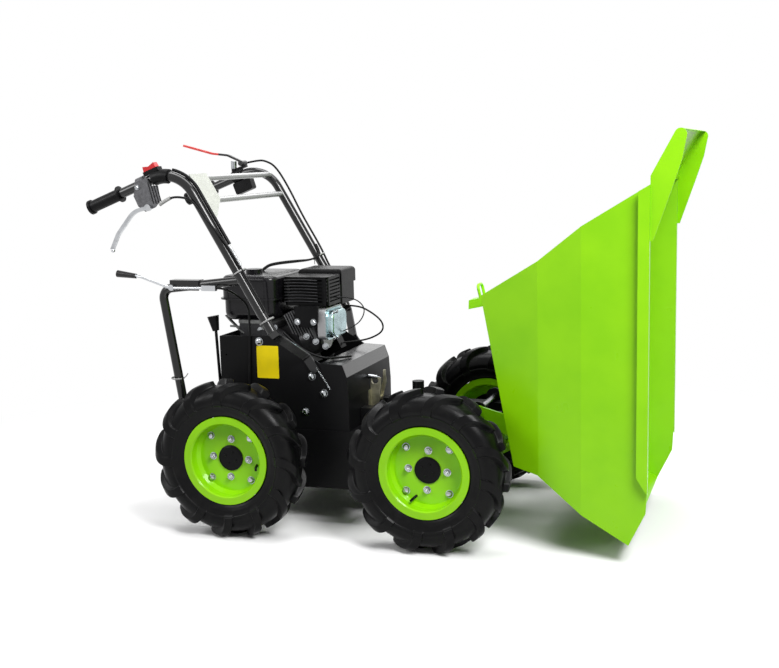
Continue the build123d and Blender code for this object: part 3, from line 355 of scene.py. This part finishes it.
def swept(path, wide, high=None, sides=10, up=(0, 0, 1), closed=False):
    """Bar along a path: point (i, j) = path_i + wide cos a_j n_i + high sin a_j m_i.

    n and m stand square to the path and to each other, n square to up as well.
    """
    path = np.asarray(path, float)
    high = wide if high is None else high
    run = np.roll(path, -1, 0) - np.roll(path, 1, 0) if closed else np.gradient(path, axis=0)
    run = unit(run)
    n = unit(np.cross(run, up))
    m = np.cross(n, run)
    a = ((np.arange(sides) + 0.5) / sides * TAU)[None, :, None]
    points = path[:, None] + wide * np.cos(a) * n[:, None] + high * np.sin(a) * m[:, None]
    if closed:
        points = np.concatenate([points, points[:1]])
    else:
        first, last = np.repeat(path[:1, None], sides, 1), np.repeat(path[-1:, None], sides, 1)
        points = np.concatenate([first, points, last])
    return points.reshape(-1, 3), grid_faces(len(points), sides, True)


def gathered(shapes):
    """Several shapes as one list of points and one of faces."""
    points, faces, first = [], [], 0
    for p, f in shapes:
        points.append(p)
        faces.append(f + first)
        first += len(p)
    return np.concatenate(points), np.concatenate(faces)


def set_out(shape, places, directions):
    """Copies of a shape drawn about z, each moved to its place with its z along its direction."""
    points, faces = shape
    return gathered([(points @ axes_along(way) + np.asarray(place), faces)
                     for place, way in zip(places, directions)])


def bar(points, wide, high=None, sides=10, up=(0, 0, 1)):
    """Bar through millimetre points that are joined by straight runs."""
    return swept(np.array([at(*p) for p in points]), wide, high, sides, up)


def piece(name, shape, body, finish, crease=35):
    """A finished piece: doubles merged, faces outwards, riding on a body."""
    points, faces = shape
    mesh = bpy.data.meshes.new(name)
    mesh.from_pydata(points.tolist(), [], faces.tolist())
    work = bmesh.new()
    work.from_mesh(mesh)
    bmesh.ops.remove_doubles(work, verts=work.verts, dist=2e-6)
    bmesh.ops.dissolve_degenerate(work, edges=work.edges, dist=1e-7)
    bmesh.ops.recalc_face_normals(work, faces=work.faces)
    work.to_mesh(mesh)
    work.free()
    mesh.materials.append(M[finish])
    mesh.shade_smooth()
    mesh.set_sharp_from_angle(angle=math.radians(crease))
    made = bpy.data.objects.new(name, mesh)
    bpy.context.scene.collection.objects.link(made)
    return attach(made, body)


# ------------------------------------------------------------------ tyres
# sections from the crown to the bead: distance from the middle plane, distance from the axle;
# both come together on the lower flank
TO_BEAD = [(0.0462, 0.1405), (0.0405, 0.124), (0.036, 0.1165)]
CARCASS = [(0.0, 0.1925), (0.020, 0.1905), (0.035, 0.1845), (0.0455, 0.173), (0.0495, 0.158),
           (0.0475, 0.147), *TO_BEAD]
LUG_TOPS = [(0.0, 0.2055), (0.021, 0.2050), (0.0385, 0.2005), (0.0505, 0.187), (0.0543, 0.166),
            (0.0520, 0.1500), *TO_BEAD]
LUGS = 12
LUG_PHASE = {"rear": 0.02, "front": 0.17}      # turn of the first lug, in radians
HALF_ROWS = 52                                 # rows of the grid from the crown to a bead
TREAD_R = 0.2                                  # radius at which lug widths are measured
LEAN, LEAN_END = 0.34, 0.072                   # sweep back of a lug, and where it is complete
WIDEST, TALLEST = 0.0548, 0.2058               # limits that keep the tyre in the CAD one's box


def soft(v):
    """Smooth rise: 3 v^2 - 2 v^3 with v kept between 0 and 1."""
    v = np.clip(v, 0, 1)
    return v * v * (3 - 2 * v)


def tyre(phase):
    """Lugged tyre about the y axis, turned by a and running across by t, the length from the crown.

    Columns: each half step of the lugs has lines at the same shares of the way from one lug's
    middle to the next lug's, so that every flank falls between two lines at half width w(t).
    Angle: a = column + lean(t), with lean the sweep back of the lugs towards the shoulder.
    Surface: (1 - m) carcass(t) + m top(t) + ring(t) * normal(t), two sections of the same share t,
    with m = flank(a) * inner(t) and the ring a low rib round the flank where the lugs end.
    """
    side, tops = smooth_line(CARCASS, HALF_ROWS), smooth_line(LUG_TOPS, HALF_ROWS)
    y = np.concatenate([-side[::-1, 0], side[1:, 0]])
    r = np.concatenate([side[::-1, 1], side[1:, 1]])
    t = np.cumsum(np.hypot(np.diff(y, prepend=y[0]), np.diff(r, prepend=r[0])))
    t -= t[len(t) // 2]
    ny, nr = -np.gradient(r), np.gradient(y)
    long = np.hypot(ny, nr)
    ny, nr = ny / long, nr / long
    far = np.abs(t)[None]
    half_step = TAU / LUGS / 2
    wide = (0.0088 + 0.0042 * soft(far / 0.05) + 0.0012 * np.sin(far / 0.011)) / TREAD_R
    flank = 0.0042 / TREAD_R
    shares = np.concatenate([np.arange(8) / 8, 1 + np.arange(6) / 6, 2 + np.arange(8) / 8])[:, None]
    valley = half_step - 2 * (wide + flank)
    on_flank, in_valley = wide + (shares - 1) * flank, wide + flank + (shares - 2) * valley
    column = np.where(shares < 1, shares * wide, np.where(shares < 2, on_flank, in_valley))
    mirror = half_step - (wide + flank)
    next_lug = mirror + flank + (shares - 1) * wide * 0.999
    second = np.where(shares < 1, mirror + shares * flank, np.where(shares < 2, next_lug, half_step))
    column = np.concatenate([column, second[:14]])
    turn = np.concatenate([column + k * half_step for k in range(2 * LUGS)])
    lag = np.where(t >= 0, 0.0, half_step)[None]
    off = np.abs((turn - lag + half_step) % (2 * half_step) - half_step)
    top = soft(1 - (off - wide) / flank)
    share = top * soft((far - 0.0005) / 0.004 + 0.2)
    ring = sum(high * np.exp(-((far - out) / wide_by) ** 2)
               for high, out, wide_by in ((0.0014, 0.0800, 0.0014), (0.0007, 0.0965, 0.0009)))
    top_y = np.concatenate([-tops[::-1, 0], tops[1:, 0]])[None]
    top_r = np.concatenate([tops[::-1, 1], tops[1:, 1]])[None]
    angle = turn - LEAN * soft(far / LEAN_END) ** 0.9 + phase
    yy = np.clip(y[None] + share * (top_y - y[None]) + ring * ny[None], -WIDEST, WIDEST)
    rr = np.minimum(r[None] + share * (top_r - r[None]) + ring * nr[None], TALLEST)
    points = np.stack([rr * np.sin(angle), yy, rr * np.cos(angle)], -1)
    points = np.concatenate([points, points[:1]])
    return points.reshape(-1, 3), grid_faces(len(points), len(y), False)


# ------------------------------------------------------------------ wheels
DISC_FACE, HUB_FACE = 0.0017, 0.0048           # outwards from the wheel's middle plane
NUT_RING, BOLT_RING, STUD_RING = 0.050, 0.0785, 0.0155
# turned profiles: radius, height over the face that carries them
WASHER = [(0, 0), (0.0098, 0), (0.0098, 0.0013), (0.0, 0.0013)]
HEX_NUT = [(0, 0.0012), (0.0078, 0.0012), (0.0078, 0.0072), (0.0068, 0.0082), (0.0, 0.0082)]
STUD = [(0, 0.008), (0.0041, 0.008), (0.0041, 0.0105), (0.0033, 0.0113), (0, 0.0113)]
HUB_STUD = [(0, 0), (0.0034, 0), (0.0034, 0.0016), (0.0026, 0.0022), (0, 0.0024)]
DOME = [(0, 0.0012), (0.0084, 0.0012), (0.0082, 0.004), (0.0066, 0.0066), (0.0036, 0.008), (0, 0.0084)]
VALVE_LINE = [(0, -0.006, 0.0735), (0.001, 0.004, 0.0745), (0.003, 0.016, 0.078), (0.005, 0.026, 0.083)]
# end, side, outward sign, turn of the valve round the wheel in radians
WHEELS = [("rear", "right", -1, 1.78), ("rear", "left", 1, 2.4),
          ("front", "right", -1, 3.56), ("front", "left", 1, 0.9)]


def turned(points, angle):
    """Points turned about the y axis: x, z mix by the angle's cosine and sine."""
    x, y, z = np.moveaxis(np.asarray(points, float), -1, 0)
    c, n = math.cos(angle), math.sin(angle)
    return np.stack([x * c + z * n, y, z * c - x * n], -1)


def ring_of(centre, s, radius, start, count):
    """Places evenly round a wheel's disc, and the way that they face."""
    a = start + np.arange(count) * TAU / count
    face = np.stack([radius * np.sin(a), np.full(count, s * DISC_FACE), radius * np.cos(a)], -1)
    return face + centre, [(0, s, 0)] * count


for end, side, s, valve_turn in WHEELS:
    body = f"wheel_{end}_{side}"
    centre = np.array(JOINT_AT[f"{body}_spin"])
    points, faces = tyre(LUG_PHASE[end])
    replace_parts(piece(f"lugged_tyre_{end}_{side}", (points + centre, faces), body, "tyre", 50),
                f"tyre_{end}_{side}")
    nut = gathered([lathe(WASHER, 20), lathe(HEX_NUT, 6), lathe(STUD, 14)])
    nuts = set_out(nut, *ring_of(centre, s, NUT_RING, 0.05, 4))
    piece(f"wheel_nuts_{end}_{side}", nuts, body, "bright", 30)
    bolt = gathered([lathe(WASHER, 20), lathe(DOME, 20)])
    bolts = set_out(bolt, *ring_of(centre, s, BOLT_RING, math.radians(46), 4))
    piece(f"rim_bolts_{end}_{side}", bolts, body, "bright", 30)
    studs = set_out(lathe(HUB_STUD, 14), *ring_of(centre + (0, s * HUB_FACE, 0), s, STUD_RING, 0.4, 4))
    piece(f"hub_studs_{end}_{side}", studs, body, "black_gloss", 30)
    line = turned(smooth_line(VALVE_LINE, 9), valve_turn)
    valve = swept(line * (1, s, 1) + centre, 0.0034, sides=12)
    piece(f"valve_{end}_{side}", valve, body, "rubber", 40)


# ------------------------------------------------------------------ shapes of the small parts
def laid(points, count):
    """Quadratic B-spline: q(s) = (1-s)^2 a + 2 s (1-s) b + s^2 c, a and c the middles of the runs at b."""
    p = np.asarray(points, float)
    middle = (p[:-1] + p[1:]) / 2
    middle[0], middle[-1] = p[0], p[-1]
    share = np.linspace(0, len(middle) - 1 - 1e-9, count)
    i = share.astype(int)
    s = (share - i)[:, None]
    return (1 - s) ** 2 * middle[i] + 2 * s * (1 - s) * p[i + 1] + s**2 * middle[i + 1]


def coil(start, end, radius, wire, turns):
    """Close spring: path(s) = start + s run + radius (cos a n + sin a m), a = turns s."""
    n, m, _ = axes_along(end - start)
    s = np.linspace(0, 1, turns * 12)[:, None]
    a = s * TAU * turns
    return swept(start + s * (end - start) + radius * (np.cos(a) * n + np.sin(a) * m), wire, sides=6)


def slab(outline, thick, edge):
    """Flat piece: the outline drawn up through the thickness, pulled in by edge on top, both faces closed."""
    o = np.asarray(outline, float)
    middle = o.mean(0)
    inward = o - unit(o - middle) * edge
    centre = np.broadcast_to(middle, o.shape)
    rings = [(centre, 0), (o, 0), (o, thick - edge), (inward, thick), (centre, thick)]
    points = np.stack([np.column_stack([ring, np.full(len(o), h)]) for ring, h in rings])
    return points.reshape(-1, 3), grid_faces(len(rings), len(o), True)


def rounded(width, height, radius, steps=6):
    """Outline of a rectangle with quarter-circle corners."""
    a = np.linspace(0, math.pi / 2, steps)
    arc = np.stack([np.cos(a), np.sin(a)], -1) * radius
    corners = []
    for k, (sx, sy) in enumerate([(1, 1), (-1, 1), (-1, -1), (1, -1)]):
        c, n = math.cos(k * math.pi / 2), math.sin(k * math.pi / 2)
        middle = (sx * (width / 2 - radius), sy * (height / 2 - radius))
        corners.append(arc @ np.array([[c, n], [-n, c]]) + middle)
    return np.concatenate(corners)


def upright(shape, place, s):
    """A shape drawn flat, stood against a side plate: across to +X, up to +Z, out to the side."""
    points, faces = shape
    return np.stack([points[:, 0], s * points[:, 2], points[:, 1]], -1) + place, faces


def face_of(node, corner, axis):
    """A node's lowest (0) or highest (1) x, y or z in millimetres from the rear axle."""
    return (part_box(node)[corner][axis] + (AHEAD if axis == 0 else 0)) * 1000


def rope(route, radius, count=40, sides=12):
    """Round cable of a radius in millimetres, laid smoothly along millimetre points."""
    return swept(laid([at(*p) for p in route], count), radius / 1000, sides=sides)


# ------------------------------------------------------------------ cables
BEND_X, BEND_Z = -142.4, 951.9                 # corner that a handlebar's bend rounds off
LOW_X, LOW_Z = 104.0, 529.0                    # a point low on its lower straight
BAR_AXIS = unit(at(LOW_X, 0, LOW_Z) - at(BEND_X, 0, BEND_Z))
BAR_Y = 267.0                                  # half the distance between the handlebars


def bar_at(z, off, y):
    """Point beside a handlebar's straight: at height z, off ahead of its axis."""
    share = (BEND_Z - z) / (BEND_Z - LOW_Z)
    x = BEND_X + share * (LOW_X - BEND_X)
    return x - BAR_AXIS[2] * off, y, z + BAR_AXIS[0] * off


# name, node that it stands for, points along it
CABLES = [
    ("clutch_cable_smooth", "clutch_cable", 70,
     [(-188.5, -283.4, 860), (-165, -283.4, 874), (-140, -283.4, 878), (-104, -283.4, 872), (-80, -283, 846),
      bar_at(790, 9, -281), bar_at(745, 17, -278), bar_at(690, 18, -277), bar_at(630, 18, -277),
      bar_at(575, 18, -277)]),
    ("throttle_cable_smooth", "throttle_cable", 70,
     [(-205, 279, 958), (-172, 279, 964), (-148, 279, 963), (-112, 275, 946), (-70, 273, 880),
      (-30, 271, 800), (28, BAR_Y, 706), bar_at(640, 16.6, BAR_Y), bar_at(575, 16.6, BAR_Y)]),
    ("release_cable_smooth", "release_cable", 60,
     [(-51.8, -262.8, 640), (-30, -262.8, 641), (-10, -225, 618), (-2, -180, 585), (-2, -176.2, 540),
      (-5, -176, 460), (-9, -176, 390), (-12, -176, 258)]),
]
for name, node, count, route in CABLES:
    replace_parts(piece(name, rope(route, 3, count), "chassis", "rubber", 50), node)

# radius, points along it, route
WIRES = [
    (2.5, 60, [(150, 135, 548), (190, 138, 549), (232, 135, 530), (266, 130, 505), (268, 129, 478),
               (236, 126, 458), (196, 112, 449), (157.5, 95, 447)]),
    (1.6, 50, [(185.4, -12, 590), (210, 4, 590), (236, 26, 576), (248, 38, 552), (240, 32, 524),
               (222, 14, 506), (198, -10, 496)]),
    (3, 50, [(84, -152, 512), (106, -150, 490), (140, -146, 462), (178, -140, 446), (205, -120, 438.5),
             (240, -60, 436.5)]),
]
SHEATH_Y, SHEATH_OUT = -264.0, 17.9            # where the sheath lies on the right handlebar
BEND_MIDDLE, BEND_OUT = (-181.7, 840.5), 107.9  # the bend's centre, and the sheath's radius about it
turn = np.radians(np.linspace(78.6, 30.2, 18))
round_bend = np.stack([BEND_MIDDLE[0] + BEND_OUT * np.cos(turn), np.full(18, SHEATH_Y),
                       BEND_MIDDLE[1] + BEND_OUT * np.sin(turn)], 1)
down_bar = np.array([bar_at(z, SHEATH_OUT, SHEATH_Y) for z in np.linspace(880, 746, 8)])
sheath = bar(np.concatenate([round_bend, down_bar]), 0.0045, sides=14)
wires = [rope(route, radius, count) for radius, count, route in WIRES]
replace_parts(piece("engine_wires", gathered([*wires, sheath]), "chassis", "rubber", 50),
            "engine_cables")

# two strands side by side, the second moved aside and lifted off the first
loom = [rope([(-50, 14, 655 + lift), (-42, 30, 668 + lift), (-30, 70, 672 + lift), (-4, 150, 671 + lift),
              (20, 215, 671), bar_at(676, 17, 256 + aside), bar_at(706, 15.6, 257 + aside)], 2.8, sides=10)
        for aside, lift in ((0, 0), (6.5, 3.5))]
piece("loom_over_tank", gathered(loom), "chassis", "rubber", 50)


def tie(place, along, wide, high, up=(0, 1, 0)):
    """Cable tie: a flat band swept round an oval about the axis along, with its lock and tail."""
    a = np.arange(40) / 40 * TAU
    side = unit(np.cross(up, along))
    loop = place + wide * np.cos(a)[:, None] * np.asarray(up, float) + high * np.sin(a)[:, None] * side
    start, out = loop[6], loop[6] - place
    band = swept(loop, 0.0008, 0.0021, sides=6, up=along, closed=True)
    lock = swept(np.linspace(start, start + out * 0.35, 4), 0.0026, 0.0022, sides=4, up=along)
    end = laid([start, start + out * 0.5, start + out * 0.9 + unit(along) * 0.012], 8)
    return gathered([band, lock, swept(end, 0.0006, 0.0018, sides=4, up=along)])


TIES = [(bar_at(681, 3, -BAR_Y), BAR_AXIS, 0.0185, 0.0205), (bar_at(556, 3, -BAR_Y), BAR_AXIS, 0.0185, 0.0205),
        (bar_at(676, 3, BAR_Y), BAR_AXIS, 0.0160, 0.0205), ((-189, -244.5, 394), (0.05, 0, 1), 0.0150, 0.0150)]
ties = [tie(at(*place), along, wide, high) for place, along, wide, high in TIES]
piece("cable_ties", gathered(ties), "chassis", "tie", 40)

# ------------------------------------------------------------------ springs, sleeves and fasteners
latch_spring = coil(at(185, -175.5, 424), at(223, -175.5, 367), 0.0024, 0.0007, 16)
adjuster = coil(at(*bar_at(742, 19, -274)), at(*bar_at(690, 20, -274)), 0.0042, 0.0009, 16)
piece("plated_springs", gathered([latch_spring, adjuster]), "chassis", "bright", 60)
piece("clear_sleeve", rope([(-192, -283.4, 858), (-176, -283.4, 868), (-160, -283.4, 875)], 4.8, 12, 16),
      "chassis", "clear", 50)

HEX = gathered([lathe([(0, 0), (0.0088, 0), (0.0088, 0.0012), (0, 0.0012)], 20),
                lathe([(0, 0.0012), (0.0068, 0.0012), (0.0068, 0.0060), (0.0058, 0.0068), (0, 0.0068)], 6)])
BIG_DOME = gathered([lathe([(0, 0), (0.0112, 0), (0.0112, 0.0014), (0, 0.0014)], 24),
                     lathe([(0, 0.0014), (0.0088, 0.0014), (0.0086, 0.0042), (0.007, 0.0068),
                            (0.004, 0.0084), (0, 0.0088)], 24)])
MUFFLER_Y, GUARD_Y, HOUSING_Y = (face_of(node, 0, 1) for node in ("muffler", "muffler_guard", "clutch_bracket"))
COVER_X = face_of("rocker_cover", 1, 0)


def hexagons(name, places, way, size=1):
    """Hexagon heads at millimetre points, all facing one way."""
    heads = set_out((HEX[0] * size, HEX[1]), [at(*p) for p in places], [unit(way)] * len(places))
    piece(name, heads, "chassis", "bright", 30)


hexagons("exhaust_bolts", [(101, MUFFLER_Y, 532), (148, MUFFLER_Y, 532)], (0, -1, 0))
hexagons("engine_foot_bolts",
         [(125, -93, 492), (150, -88, 478), (178, -88, 466), (-8, -97, 509), (30, -90, 513)], (0.15, -1, 0.35))
hexagons("rocker_cover_bolts", [(COVER_X + 0.2, y, z) for z in (487, 556) for y in (-70, -46)], (1, 0, 0), 0.6)

# ------------------------------------------------------------------ brackets, guard bars, lever parts
bracket = bar([(-112, -92, 545), (-97, -95, 531), (-72, -96, 508), (-57, -96, 498)], 0.0022, 0.009, 4,
              (0, 1, 0))
strip = bar([(-100, -96, 516), (-60, -96, 514), (0, -96, 508), (27, -95, 500)], 0.004, 0.0012, 4, (0, 1, 0))
piece("tank_bracket", gathered([bracket, strip]), "chassis", "casting", 30)
barrel = lathe([(0, 0), (0.0052, 0), (0.0060, 0.0008), (0.0060, 0.0262), (0.0052, 0.027), (0, 0.027)], 24)
barrel_way = unit((27, 0, -3))
pull = gathered([set_out(barrel, [at(270, -12, 374)], [barrel_way]),
                 bar([(269.5, -12, 374), (272.2, -12, 374)], 0.0034, sides=12),
                 bar([(296, -12, 372.5), (305, -12, 371.5)], 0.0018)])
piece("latch_spring_barrel", pull, "chassis", "bright", 30)

# bars across the face of the muffler guard; their lighter grey finish is a painted highlight on their edges
slats = [rope([(60, GUARD_Y - 0.6, z), (85, GUARD_Y - 3, z + 1.5), (120, GUARD_Y - 3.5, z + 2),
               (156, GUARD_Y - 0.6, z)], 1.4, 24, 8) for z in np.linspace(585, 643, 8)]
slats += [bar([(x, GUARD_Y - 0.8, 579), (x, GUARD_Y - 2.2, 613), (x, GUARD_Y - 0.8, 649)], 0.0022, sides=8)
          for x in (62, 153)]
piece("guard_bars", gathered(slats), "chassis", "guard", 50)
BALL_R = 0.0056
ball = lathe([(BALL_R * math.sin(t), BALL_R * (1 - math.cos(t))) for t in np.linspace(0, math.pi, 15)], 24)
piece("lever_ball", set_out(ball, [at(-330.5, -290.5, 744)], [unit((-0.5, 0, -0.87))]), "chassis",
      "chrome", 60)
ribs = [bar([(x, HOUSING_Y - 0.3, 915 - 0.2 * (x + 216)), (x + 14, HOUSING_Y - 0.3, 861)], 0.0012, sides=8)
        for x in (-222, -214, -206, -198)]
piece("housing_ribs", gathered(ribs), "chassis", "plastic", 50)
cup = lathe([(0, 0), (0.0083, 0), (0.0088, 0.0006), (0.0088, 0.0228), (0.0082, 0.0234), (0, 0.0234)], 32)
piece("throttle_spring_cup", set_out(cup, [at(-246, BAR_Y, 940)], [(0, 0, 1)]), "chassis",
      "bright", 30)
hexagons("housing_bolt", [(-254, HOUSING_Y, 903)], (0, -1, 0), 0.8)

# ------------------------------------------------------------------ what the side plates carry
NOTICE_Y = face_of("side_plate_right", 0, 1) - 0.05
notice = slab(rounded(0.063, 0.088, 0.003), 0.0007, 0.0003)
piece("blank_notice", upright(notice, at(44.5, NOTICE_Y, 433), -1), "chassis", "yellow", 40)
for side, s, corner in (("right", -1, 0), ("left", 1, 1)):
    plate = face_of(f"side_plate_{side}", corner, 1)
    places = [at(x, plate, z) for x, z in ((22, 488), (204, 355), (150, 304), (171, 399), (-80, 280))]
    bolts = set_out(BIG_DOME, places, [(0, s, 0)] * len(places))
    piece(f"panel_bolts_{side}", bolts, "chassis", "bright", 30)


# ------------------------------------------------------------------ studio
WHITE_RAYS = ("Is Camera Ray", "Is Glossy Ray", "Is Transmission Ray")    # rays that see a white ground
ROOM = 0.24                                    # strength of the room's light on the object


def backdrop():
    """Pale floor that curves up behind into a wall, white to the camera apart from the shadow."""
    u = np.linspace(-14, 14, 3)
    bend = np.linspace(0, math.pi / 2, 16)
    line = np.concatenate([[(-12, 0.0)], np.stack([6 + 3 * np.sin(bend), 3 - 3 * np.cos(bend)], -1), [(9, 12)]])
    points = np.stack(np.broadcast_arrays(u[None, :], line[:, :1], line[:, 1:]), -1)
    mesh = bpy.data.meshes.new("backdrop")
    mesh.from_pydata(points.reshape(-1, 3).tolist(), [], grid_faces(len(line), len(u), False).tolist())
    mesh.shade_smooth()
    made = bpy.data.objects.new("backdrop", mesh)
    bpy.context.scene.collection.objects.link(made)
    f = Finish("backdrop_card")
    away = f.node("ShaderNodeVectorMath", {"operation": "LENGTH"}, f.here(), out=1)
    card = f.node("ShaderNodeBsdfDiffuse", {}, (0.93, 0.93, 0.93, 1))
    dim_card = f.node("ShaderNodeBsdfDiffuse", {}, (0.32, 0.32, 0.32, 1))
    glow = f.node("ShaderNodeEmission", {}, (1, 1, 1, 1), 1.0)
    shown = f.node("ShaderNodeMixShader", {}, f.ramp(away, 0.9, 2.0), card, glow)
    mixed = f.node("ShaderNodeMixShader", {}, background_rays(f), dim_card, shown)
    f.tree.links.new(mixed.socket, f.tree.nodes["Material Output"].inputs[0])
    mesh.materials.append(f.material)


def background_rays(finish):
    """1 for a ray from the camera, a mirror or glass; 0 for one that only lights the object."""
    path = finish.node("ShaderNodeLightPath", {}).socket.node.outputs
    kinds = [Wire(finish, path[kind]) for kind in WHITE_RAYS]
    return finish.node("ShaderNodeMath", {"operation": "MINIMUM"}, kinds[0] + kinds[1] + kinds[2], 1.0)


def lamp(name, place, aim, size, watts):
    """Rectangular soft box at a place, turned towards its aim."""
    data = bpy.data.lights.new(name, "AREA")
    data.shape, data.size, data.size_y, data.energy = "RECTANGLE", size[0], size[1], watts
    made = bpy.data.objects.new(name, data)
    bpy.context.scene.collection.objects.link(made)
    way = Vector(aim) - Vector(place)
    made.matrix_world = Matrix.Translation(place) @ way.to_track_quat("-Z", "Y").to_matrix().to_4x4()


def studio():
    """Dim room and four soft boxes: a strong one high ahead on the right, the others filling in."""
    world = bpy.data.worlds.new("studio")
    bpy.context.scene.world = world
    world.use_nodes = True
    ground = world.node_tree.nodes["Background"]
    ground.inputs[0].default_value = (1, 1, 1, 1)
    nodes, links = world.node_tree.nodes, world.node_tree.links
    path, level = nodes.new("ShaderNodeLightPath"), None
    for kind in WHITE_RAYS:
        step = nodes.new("ShaderNodeMath")
        step.operation = "MULTIPLY_ADD"
        step.inputs[1].default_value, step.inputs[2].default_value = 1.0 - ROOM, ROOM
        links.new(path.outputs[kind], step.inputs[0])
        if level:
            links.new(level, step.inputs[2])
        level = step.outputs[0]
    links.new(level, ground.inputs[1])
    lamp("key", (1.9, -1.75, 2.7), (0.1, 0, 0.5), (1.3, 1.2), 118)
    lamp("fill", (-2.5, -2.2, 2.2), (0, 0, 0.4), (1.3, 1.6), 44)
    lamp("top", (0.0, 0.2, 3.8), (0, 0, 0.3), (3.0, 2.0), 104)
    lamp("back", (-0.6, 3.0, 2.8), (0, 0, 0.4), (3.0, 1.6), 40)


backdrop()
studio()
bpy.context.scene.view_settings.view_transform = "Standard"
